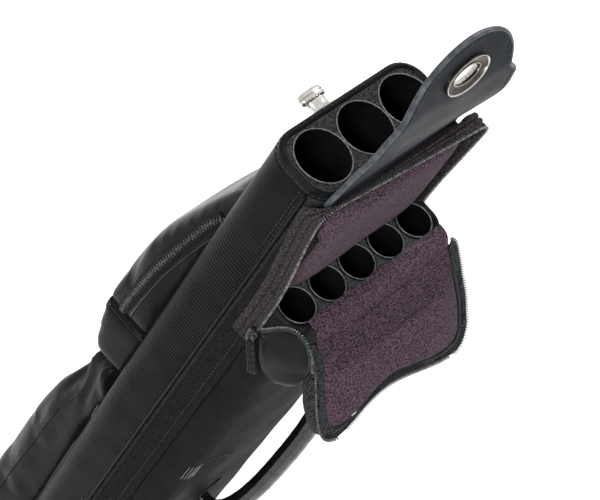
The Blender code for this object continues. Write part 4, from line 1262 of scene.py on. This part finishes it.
def lining_point(tree, x, t):
    """A place on the lining, t from the deck to its end, with its fine stretched pleats."""
    along = LINING_START + (lining_end(x) - LINING_START) * t
    window = ease(along, LINING_PLEATS[0] - PLEAT_FADE_IN, LINING_PLEATS[0] + PLEAT_FADE_IN)
    window *= 1 - ease(along, LINING_PLEATS[1] - PLEAT_FADE_OUT, LINING_PLEATS[1])
    lift = LINING_LIFT + PLEAT_HEIGHT * window * math.sin(2 * math.pi * along / PLEAT_PITCH)
    lift -= LINING_TUCK * ease(max(abs(x) / LINING_HALF, t), LINING_TUCK_FROM, 1.0)
    share = ease(along, *LINING_ON_FLAP)
    place = bend_point(x, min(along, LINING_ON_FLAP[1]))
    if share > 0:
        place = place.lerp(flap_surface(tree, x, max(along, LINING_ON_FLAP[0]), lift), share)
    return place


def build_flap_lining(tree):
    """One plum sheet from the deck over the fold and down the flap, leather underneath at the fold."""
    across = [LINING_HALF * t for t in levels(-1.0, 1.0, LINING_COLUMNS)]
    rows = [[lining_point(tree, x, t) for x in across] for t in levels(0.0, 1.0, LINING_ROWS)]
    sheet = piece("flap_lining_sheet", lofted(rows, wrap_cols=False), "plum", "flap_lining", body=None)
    thicken(sheet, LINING_SKIN)
    bake(sheet)
    turn = FLAP_AXIS.y - LEATHER_TURN
    recoat(sheet, "smooth", lambda face: face.normal.z < 0 and face.center.y > turn)
    tuple(flap_point(0, 0.008, -0.002))
    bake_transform(sheet)


def build_flap():
    """Padded flap: leather outside, nylon sides, plum lining, and its half of the zip."""
    verts, faces = flap_blank()
    mesh = bpy.data.meshes.new("flap_cushion")
    mesh.from_pydata([tuple(v) for v in verts], [], faces)
    flap = puffed(bpy.data.objects.new("flap_cushion", mesh), voxel=0.0038, pressure=3.0, cap=0.004)
    dress(flap, "smooth", "flap_pad", body="shaft_flap")
    recoat(flap, "plum_nylon", lambda face: face.normal.dot(FLAP_OUT) < FLAP_SIDE_NORMAL)
    tree = tree_of(flap)
    build_flap_lining(tree)
    rows = []
    for inset, lift in FLAP_TAPE:
        rows.append([flap_surface(tree, p.x, p.y, lift) for p in flap_edge(inset, FLAP_TAPE_COUNT)])
    tape = piece("flap_zip_tape", lofted(rows, wrap_cols=False), "nylon", "flap_zip", body="shaft_flap")
    thicken(tape, FLAP_TAPE_SKIN)
    edge = flap_edge(FLAP_TEETH[0], FLAP_TEETH_COUNT)
    base = [flap_surface(tree, p.x, p.y, FLAP_TEETH[1]) for p in edge]
    outs = [flap_way(t.y, -t.x).normalized() for t in tangents(edge)]
    ways = [(o - FLAP_OUT * FLAP_TEETH_LEAN).normalized() for o in outs]
    toothed("flap_zip_teeth", base, ways, [-FLAP_OUT] * len(base), "shaft_flap")


# Side fold between the flap and the ribbed side, as (Y, drop below the mouths)
WEB_TOP = ((-0.0440, 0.121), (-0.0470, 0.116), (-0.0524, 0.105), (-0.0575, 0.0975), (-0.0620, 0.094),
           (-0.0664, 0.0925), (-0.0725, 0.094), (-0.0790, 0.100), (-0.0850, 0.110))
WEB_BOTTOM = ((-0.0450, 0.124), (-0.0480, 0.130), (-0.0520, 0.140), (-0.0560, 0.146), (-0.0600, 0.150),
              (-0.0650, 0.151), (-0.0710, 0.148), (-0.0780, 0.141), (-0.0840, 0.131))
WEB_X = -SIDE_X - 0.0006
WEB_STEP = 0.0022
WEB_BULGE = 0.0040
WEB_RIPPLE = 0.0007
WEB_WAVES = (9, 7)
WEB_ROUND = 0.7
WEB_COLUMNS = 12
WEB_SKIN = 0.0010
WEB_EDGE = 0.0013


def build_web():
    """Soft leather fold that joins the flap to the ribbed side, with the zip along its top."""
    edges = [[Vector((WEB_X, *p.yz)) for p in below(line)] for line in (WEB_TOP, WEB_BOTTOM)]
    top, bottom = (resample(edge, WEB_STEP) for edge in edges)
    rows = []
    for i, high in enumerate(top):
        share = i / (len(top) - 1)
        low = bottom[round(share * (len(bottom) - 1))]
        row = []
        for t in levels(0.0, 1.0, WEB_COLUMNS):
            ripple = WEB_RIPPLE * math.sin(WEB_WAVES[0] * share + WEB_WAVES[1] * t) * math.sin(math.pi * t)
            out = WEB_BULGE * math.sin(math.pi * t) ** WEB_ROUND * math.sin(math.pi * share) + ripple
            row.append(high.lerp(low, t) - Vector((out, 0, 0)))
        rows.append(row)
    web = piece("flap_side_web", lofted(rows, wrap_cols=False), "smooth")
    thicken(web, WEB_SKIN)
    bake(web)
    roll = rod("flap_side_web_edge", top, WEB_EDGE, "nylon", up=X_WAY)
    outs = [Vector((0, t.z, -t.y)) for t in tangents(top)]
    outs = [o if o.z > 0 else -o for o in outs]
    teeth = toothed("flap_side_web_teeth", top, outs, [-X_WAY])
    for part in (web, roll, teeth):
        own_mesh(part)


build_back_pad()
build_flap()
build_web()

# Pockets: lines on their sides as (Y, drop below the mouths)
UPPER_ZIP = ((0.0300, 0.117), (0.0355, 0.130), (0.0435, 0.172), (0.0487, 0.210), (0.0514, 0.246),
             (0.0536, 0.277))
UPPER_ROLL = ((0.0285, 0.138), (0.0365, 0.176), (0.0415, 0.206), (0.0443, 0.245), (0.0455, 0.276))
LOWER_SEAM = ((0.0475, 0.405), (0.0552, 0.435), (0.0575, 0.507), (0.0600, 0.573), (0.0610, 0.690))
LOWER_ROLL = ((0.0300, 0.390), (0.0295, 0.433), (0.0305, 0.467), (0.0295, 0.545), (0.0295, 0.700))
COIL_TAPE = ((-0.0048, 0.0003), (-0.0024, 0.0006), (0.0, 0.0007), (0.0024, 0.0006), (0.0048, 0.0003))
COIL_TAPE_SKIN = 0.0008
COIL_PITCH = 0.00175
COIL_SHIFT = 0.0007
COIL_LIFT = 0.0014
COIL_SIZE = (0.0032, 0.0012, 0.0014)
BOOT_ROLL = 0.0010
BOOT_CORNER = (0.006, 0.004)
BOOT_DROP = 0.0008
BOOT_START = 0.002
BOOT_LIFT_SHARE = 0.3
BOOT_UP = Vector((0.3, 0.9, 0.3))
SIDE_RAY_START = 0.2
ROLL_LIFT = 0.0002
UPPER_ROLL_RADIUS = 0.0008
LOWER_ROLL_RADIUS = 0.0009
LOWER_SEAM_RADIUS = 0.0007
FOLD_SKEW = 1.3
SECOND_FOLD = (0.5, 1.7, 9)

# Gathers of the lower pocket: drop from its top, reach, wave, height and slant
LOWER_GATHERS = ((0.012, 0.050, 0.030, 0.0022, 7.0), (0.080, 0.120, 0.047, 0.0010, -5.0))


def wrinkle(obj, top, reach, wave, height, slant):
    """Soft slanting folds that fade away from a pocket's gathered end."""
    share, rate, shift = SECOND_FOLD
    with editing(obj.data) as solid:
        solid.normal_update()
        for vert in solid.verts:
            drop = top - vert.co.z
            phase = (vert.co.x + vert.co.y * FOLD_SKEW) / wave + drop * slant
            second = math.sin(2 * math.pi * (rate * phase + drop * shift))
            fold = math.sin(2 * math.pi * phase) + share * second
            vert.co += vert.normal * (height * bell(drop, 0.0, reach) * fold)


def on_side(tree, point, side, lift):
    """The place on a pocket's side face beside a point, lifted a little."""
    place = tree.ray_cast(Vector((side * SIDE_RAY_START, point.y, point.z)), Vector((-side, 0, 0)))[0]
    if place is None:
        return Vector((side * (POCKET_HALF + lift), point.y, point.z))
    return place + Vector((side * lift, 0, 0))


def coil_zip(label, tree, line, side, *replaces):
    """Closed zip on a pocket's side: tape, and a coil of interlocked teeth."""
    path = resample(line, PATH_STEP)
    ways = [Vector((0, -t.z, t.y)) for t in tangents(path)]
    rows = []
    for offset, lift in COIL_TAPE:
        rows.append([on_side(tree, p + w * offset, side, lift) for p, w in zip(path, ways)])
    tape = piece(f"{label}_zip_tape", lofted(rows, wrap_cols=False), "tape", *replaces)
    thicken(tape, COIL_TAPE_SKIN)
    path = resample(line, COIL_PITCH)
    ways = [Vector((0, -t.z, t.y)) for t in tangents(path)]
    centers = []
    for i, (p, w) in enumerate(zip(path, ways)):
        centers.append(on_side(tree, p + w * (COIL_SHIFT if i % 2 else -COIL_SHIFT), side, COIL_LIFT))
    shape = capsules(centers, ways, [X_WAY * side] * len(centers), COIL_SIZE)
    # Painted highlight: the pocket teeth are black, painted a dim grey
    piece(f"{label}_zip_teeth", shape, "dim_painted_glint_teeth")


def side_roll(name, tree, line, side, radius, material="gloss"):
    points = [on_side(tree, p, side, ROLL_LIFT) for p in resample(below(line), COARSE_STEP)]
    rod(name, points, radius, material, up=X_WAY * side)


def boot_edge(boot):
    """A thin rolled edge round the top of the upper pocket's end cap."""
    low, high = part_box("upper_pocket_cap")
    z = high.z - BOOT_DROP
    inset, back = BOOT_CORNER
    half = [(POCKET_HALF, low.y + BOOT_START), (POCKET_HALF, high.y - back), (POCKET_HALF - inset, high.y)]
    hoop = [Vector((-x, y, z)) for x, y in half] + [Vector((x, y, z)) for x, y in reversed(half)]
    tree = tree_of(boot)
    hits = [tree.find_nearest(p)[:2] for p in resample(hoop, COARSE_STEP)]
    points = [place + normal * BOOT_ROLL * BOOT_LIFT_SHARE for place, normal in hits]
    rod("upper_pocket_boot_edge", points, BOOT_ROLL, "gloss", up=BOOT_UP)


def build_pockets():
    """Upper pocket with its end cap, and the lower pocket with a gathered top."""
    upper = stuffed("upper_pocket_pouch", "upper_pocket", voxel=0.0045, pressure=3.5, cap=0.004,
                    material="smooth", shrink=0.0010)
    tree = tree_of(upper)
    coil_zip("upper_pocket", tree, below(UPPER_ZIP), 1, "upper_pocket_zip")
    coil_zip("upper_pocket_near", tree, below(UPPER_ZIP), -1)
    side_roll("upper_pocket_piping", tree, UPPER_ROLL, -1, UPPER_ROLL_RADIUS)
    boot = stuffed("upper_pocket_boot", "upper_pocket_cap", voxel=0.0040, pressure=3.0, cap=0.003,
                   material="smooth")
    boot_edge(boot)
    lower = stuffed("lower_pocket_pouch", "lower_pocket", voxel=0.0050, pressure=3.5, cap=0.005,
                    material="smooth", shrink=0.0010)
    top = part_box("lower_pocket")[1].z
    for drop, *gather in LOWER_GATHERS:
        wrinkle(lower, top - drop, *gather)
    tree = tree_of(lower)
    low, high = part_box("lower_pocket_zip")
    middle = mid("lower_pocket_zip", 1)
    line = [Vector((0, middle, z)) for z in (high.z, low.z)]
    coil_zip("lower_pocket", tree, line, 1, "lower_pocket_zip")
    for side, label in ((-1, "ribbed_side"), (1, "far_side")):
        side_roll(f"lower_pocket_{label}_piping", tree, LOWER_ROLL, side, LOWER_ROLL_RADIUS)
    side_roll("lower_pocket_seam", tree, LOWER_SEAM, -1, LOWER_SEAM_RADIUS, "smooth")


build_pockets()

# Zip sliders and pulls: outline as shares of the node, levels as (share of depth, scale)
SLIDER_OUTLINE = ((-0.62, -1.0), (0.62, -1.0), (0.80, -0.55), (1.0, 0.10), (1.0, 0.70), (0.78, 1.0),
                  (0.18, 1.0), (0.0, 0.80), (-0.18, 1.0), (-0.78, 1.0), (-1.0, 0.70),
                  (-1.0, 0.10), (-0.80, -0.55))
SLIDER_LEVELS = ((0.0, 0.94), (0.15, 1.0), (0.40, 1.0), (0.46, 0.86), (0.54, 0.86), (0.60, 1.0), (0.85, 0.98),
                 (1.0, 0.84))
SLIDER_DEPTH = 0.86
BRIDGE_FROM = 0.8
BRIDGE_SIZE = (0.0024, 0.0046)
BRIDGE_RADIUS = 0.0008
LINK_SIZE = (0.0026, 0.0036)
LINK_DROP = 0.0022
LINK_RADIUS = 0.0006
STRAP_TOP = -0.0042
STRAP_LENGTH = 0.0252
STRAP_HALF = (0.0012, 0.0042)
STRAP_LEVELS = ((0.0, 0.55, 0.5), (0.02, 0.72, 0.9), (0.08, 0.80, 1.0), (0.5, 0.92, 0.9), (0.85, 1.0, 1.0),
                (0.94, 0.93, 1.0), (0.98, 0.78, 0.85), (1.0, 0.55, 0.5))
STRAP_SIDES = 16
STRAP_POWERS = (0.7, 0.5)
BRIDGE_STEPS = 12
LINK_STEPS = 24
STRAP_STITCH = (0.0028, -0.008, -0.027)


def signed_power(value, power):
    return math.copysign(abs(value) ** power, value)


def build_slider(label, side, lean=0.0, slant=0.0, shift=Vector((0, 0, 0))):
    """Moulded slider with a bridge."""
    low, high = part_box(f"{label}_slider")
    center = (low + high) / 2 + shift
    face = high.x if side < 0 else low.x
    thick = high.x - low.x
    half = (high.y - low.y) / 2
    tall = (high.z - low.z) / 2
    rows = []
    for share, scale in SLIDER_LEVELS:
        x = face + side * (thick * SLIDER_DEPTH) * share
        row = [(center.y + half * a * scale, center.z + tall * b * scale) for a, b in SLIDER_OUTLINE]
        rows.append([Vector((x, y, z)) for y, z in row])
    piece(f"{label}_slider_body", lofted(rows), "dark_metal", f"{label}_slider", body=f"{label}_slider")
    arch = []
    for a in levels(0.0, math.pi, BRIDGE_STEPS):
        x = face + side * (thick * BRIDGE_FROM + BRIDGE_SIZE[0] * math.sin(a))
        arch.append(Vector((x, center.y, center.z + BRIDGE_SIZE[1] * math.cos(a))))
    rod(f"{label}_slider_bridge", arch, BRIDGE_RADIUS, "dark_metal", body=f"{label}_slider", up=Y_WAY)
    place = Matrix.Translation(Vector(JOINTS[f"{label}_pull_swing"]["pos_m"]) + shift)
    place = place @ Matrix.Rotation(math.radians(-slant), 4, "X")
    place = place @ Matrix.Rotation(math.radians(-side * lean), 4, "Y")
    build_pull(f"{label}_pull", side, place)


def build_pull(name, side, place):
    """A strap pull on a wire link, stitched along both its edges."""
    link = []
    for a in levels(0.0, 2 * math.pi, LINK_STEPS):
        link.append(place @ Vector((0, LINK_SIZE[0] * math.sin(a), -LINK_DROP + LINK_SIZE[1] * math.cos(a))))
    turn = place.to_3x3()
    rod(f"{name}_link", link, LINK_RADIUS, "dark_metal", body=name, up=turn @ X_WAY)
    rows = []
    for t, wide, deep in STRAP_LEVELS:
        ring = []
        for c, s in circle(STRAP_SIDES):
            x = STRAP_HALF[0] * deep * signed_power(s, STRAP_POWERS[0])
            y = STRAP_HALF[1] * wide * signed_power(c, STRAP_POWERS[1])
            ring.append(place @ Vector((x, y, STRAP_TOP - STRAP_LENGTH * t)))
        rows.append(ring)
    piece(f"{name}_strap", lofted(rows), "smooth", name, body=name)
    y, top, bottom = STRAP_STITCH
    for number, edge in enumerate((-y, y)):
        path = [place @ Vector((side * STRAP_HALF[0], edge, z)) for z in (top, bottom)]
        stitched(f"{name}_stitch_{number}", path, [turn @ (X_WAY * side)], name)


build_slider("shaft_zip", -1, 4.0, 36.0, Vector((0, -0.0028, 0.0030)))
build_slider("upper_pocket", 1)
build_slider("lower_pocket", 1)

# Handle and the bar tack beside it
HANDLE_STUB = 0.004
HANDLE_SINK = 0.0003
STUB_ENDS = (0.0015, 0.6)
HANDLE_STEPS = 60
GRIP_SIDES = 28
GRIP_UNEVEN = (0.012, 0.9, 0.23)
NECK_ROWS = 6
GRIP_STITCH_FROM = 4
HANDLE_STAND_OFF = 0.024
HANDLE_ROUND = 0.8
HANDLE_RADIUS = 0.0075
HANDLE_NECK = 0.10
HANDLE_SEAM = (0.10, 2.4, 0.10)
HANDLE_STITCH_ANGLE = 2.75
PATCH_LEVELS = ((0.0008, 0.0), (0.0002, 0.0004), (0.0, 0.0012))
PATCH_CORNER = 0.008
PATCH_STITCH_INSET = 0.003
PATCH_STITCH_CORNER = 0.006
BAR_TACK_DROP = 0.311
BAR_TACK_SIZE = (0.021, 0.0006, 0.0010)
BAR_TACK_LIFT = 0.0005
ARC_STITCH_LIFT = 0.0003
BAR_TACK_ANGLES = (226, 238, 250, 262, 274)
ARC_STITCH = ((-0.0550, 0.305), (-0.0324, 0.321), (-0.0180, 0.335), (-0.0047, 0.351))


def handle_path():
    top = mid("handle_tab_upper", 2)
    bottom = mid("handle_tab_lower", 2)
    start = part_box("handle_tab_upper")[0].y - HANDLE_SINK
    stub = [start + STUB_ENDS[0], start - HANDLE_STUB * STUB_ENDS[1]]
    route = [Vector((0, y, top)) for y in stub]
    for a in levels(0.0, math.pi, HANDLE_STEPS):
        y = start - HANDLE_STUB - HANDLE_STAND_OFF * math.sin(a) ** HANDLE_ROUND
        z = (top + bottom) / 2 + (top - bottom) / 2 * signed_power(math.cos(a), HANDLE_ROUND)
        route.append(Vector((0, y, z)))
    return resample(route + [Vector((0, y, bottom)) for y in reversed(stub)], PATH_STEP)


def build_grip():
    """Rolled leather grip with a sewn seam."""
    path = handle_path()
    ways = [along.cross(X_WAY).normalized() for along in tangents(path)]
    depth, at, width = HANDLE_SEAM
    uneven, along_rate, turn_rate = GRIP_UNEVEN
    rows = []
    for i, (point, out) in enumerate(zip(path, ways)):
        swell = 1.0 - HANDLE_NECK * bell(min(i, len(path) - 1 - i), 0, NECK_ROWS)
        ring = []
        for k in range(GRIP_SIDES):
            a = 2 * math.pi * k / GRIP_SIDES
            seam = 1.0 - depth * bell(math.atan2(math.sin(a - at), math.cos(a - at)), 0.0, width)
            rough = 1 + uneven * math.sin(i * along_rate) * math.sin(i * turn_rate + a)
            r = HANDLE_RADIUS * swell * seam * rough
            ring.append(point + X_WAY * (r * math.cos(a)) + out * (r * math.sin(a)))
        rows.append(ring)
    piece("handle_roll", lofted(rows), "gloss", "handle_grip")
    sewn = slice(GRIP_STITCH_FROM, -GRIP_STITCH_FROM)
    across = math.cos(HANDLE_STITCH_ANGLE)
    outward = math.sin(HANDLE_STITCH_ANGLE)
    ups = [X_WAY * across + out * outward for out in ways[sewn]]
    stitched("handle_stitch", [p + up * HANDLE_RADIUS for p, up in zip(path[sewn], ups)], ups)


def build_patch(end):
    """A stitched leather tab at one end of the handle."""
    low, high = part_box(f"handle_tab_{end}")

    def outline(inset, corner, y):
        flat = rounded_rect((low.x + inset, low.z + inset), (high.x - inset, high.z - inset), corner)
        return [Vector((x, y, z)) for x, z in flat]

    rows = [outline(0.0, PATCH_CORNER, high.y)]
    rows += [outline(inset, PATCH_CORNER - inset, low.y + y) for y, inset in PATCH_LEVELS]
    piece(f"handle_patch_{end}", lofted(rows), "matte", f"handle_tab_{end}")
    line = outline(PATCH_STITCH_INSET, PATCH_STITCH_CORNER, low.y)
    stitched(f"handle_patch_stitch_{end}", line, [-Y_WAY], closed=True)


def build_bar_tack():
    """Five long reinforcing stitches on the front corner, and a row of stitches that runs on from them."""
    corner = Vector((-SIDE_X + COMPARTMENT_CORNER, FRONT_Y + COMPARTMENT_CORNER, MOUTH - BAR_TACK_DROP))
    outs = [Vector((*on_circle((0, 0), 1.0, angle), 0)) for angle in BAR_TACK_ANGLES]
    centers = [corner + out * (COMPARTMENT_CORNER + BAR_TACK_LIFT) for out in outs]
    piece("bar_tack", capsules(centers, [Z_WAY] * len(centers), outs, BAR_TACK_SIZE), "bright_thread")
    line = []
    for p in resample([Vector((x, 0, MOUTH - drop)) for x, drop in ARC_STITCH], FINE_STEP):
        line.append(Vector((p.x, FRONT_Y - front_crown(p.x, FRONT_BULGE) - ARC_STITCH_LIFT, p.z)))
    stitched("handle_arc_stitch", line, [-Y_WAY])


build_grip()
build_patch("upper")
build_patch("lower")
build_bar_tack()

# Plain nodes keep their shape: name, finish and eased edge
PLAIN_NODES = [
    ("back_panel", "smooth", 0.0006), ("divider_wall", "nylon", 0.0), ("lid_hinge_strip", "slate", 0.0006),
    ("lock_washer", "nickel", 0.0002), ("base_pad", "rubber", 0.0010), ("base_cap", "smooth", 0.0020),
]
PLAIN_NODES += [(f"butt_pad_{i}", "foam", 0.0) for i in (1, 2, 3)]
PLAIN_NODES += [(f"shaft_pad_{i}", "foam", 0.0) for i in range(1, 6)]


def finish_node(name, material, bevel):
    obj = frame["nodes"][name]
    obj.data.materials.clear()
    obj.data.materials.append(M[material])
    if bevel:
        eased = obj.modifiers.new("ease", "BEVEL")
        eased.width = bevel
        eased.segments = 3
        eased.limit_method = "ANGLE"


for plain in PLAIN_NODES:
    finish_node(*plain)

# Stage, light and camera: lamps as name, place, size and power
LAMPS = (
    ("key", (-1.9, -0.2, 2.2), (0.55, 0.55), 36),
    ("fill", (-0.6, -2.2, 1.7), (0.9, 0.7), 20),
    ("rim_light", (1.8, 0.6, 1.9), (0.5, 0.5), 24),
)
LAMP_TARGET = Vector((0, 0, MOUTH - 0.15))
WORLD_STRENGTH = (0.45, 1.0)
FLOOR_SIZE = 12
FLOOR_GREY = (0.86, 0.86, 0.86, 1)
FLOOR_GLOW = 0.55
WHITE = (1, 1, 1, 1)


def add_lamp(name, location, size, power):
    lamp = bpy.data.lights.new(name, "AREA")
    lamp.shape = "RECTANGLE"
    lamp.size, lamp.size_y = size
    lamp.energy = power
    obj = bpy.data.objects.new(name, lamp)
    obj.location = location
    obj.rotation_euler = (LAMP_TARGET - Vector(location)).to_track_quat("-Z", "Y").to_euler()
    bpy.context.scene.collection.objects.link(obj)


def seen_directly(tree):
    """1 for rays that come straight from the camera, a mirror or glass, else 0."""
    path = node(tree, "ShaderNodeLightPath")
    rays = ("Is Camera Ray", "Is Glossy Ray", "Is Transmission Ray")
    return combined(tree, "MAXIMUM", [path.outputs[ray] for ray in rays])


def build_world():
    world = bpy.data.worlds.new("studio")
    world.use_nodes = True
    bpy.context.scene.world = world
    tree = world.node_tree
    background = tree.nodes["Background"]
    background.inputs["Color"].default_value = WHITE
    strength = node(tree, "ShaderNodeMapRange")
    set_inputs(strength, dict(zip(("To Min", "To Max"), WORLD_STRENGTH)))
    tree.links.new(seen_directly(tree), strength.inputs["Value"])
    tree.links.new(strength.outputs["Result"], background.inputs["Strength"])


def build_floor():
    bpy.ops.mesh.primitive_plane_add(size=FLOOR_SIZE, location=(0, 0, 0))
    floor = bpy.context.object
    floor.name = "floor"
    material, tree, shader = new_material("pale_floor")
    set_inputs(shader, {"Base Color": FLOOR_GREY, "Roughness": 0.8, "Emission Color": WHITE})
    glow = node(tree, "ShaderNodeMath", operation="MULTIPLY")
    glow.inputs[1].default_value = FLOOR_GLOW
    tree.links.new(seen_directly(tree), glow.inputs[0])
    tree.links.new(glow.outputs[0], shader.inputs["Emission Strength"])
    floor.data.materials.append(material)


def build_camera():
    camera = bpy.data.cameras.new("camera")
    camera.sensor_width = SENSOR
    camera.lens = FOCAL_PIXELS / IMAGE_WIDTH * SENSOR
    camera.clip_start = 0.01
    view = bpy.data.objects.new("camera", camera)
    back = CAMERA_RIGHT.cross(-CAMERA_DOWN)
    turn = Matrix((CAMERA_RIGHT, -CAMERA_DOWN, back)).transposed().to_4x4()
    view.matrix_world = Matrix.Translation(CAMERA_OFFSET + Vector((0, 0, MOUTH))) @ turn
    bpy.context.scene.collection.objects.link(view)
    bpy.context.scene.camera = view


bpy.context.scene.view_settings.view_transform = "Standard"
build_world()
build_floor()
for lamp_row in LAMPS:
    add_lamp(*lamp_row)
build_camera()
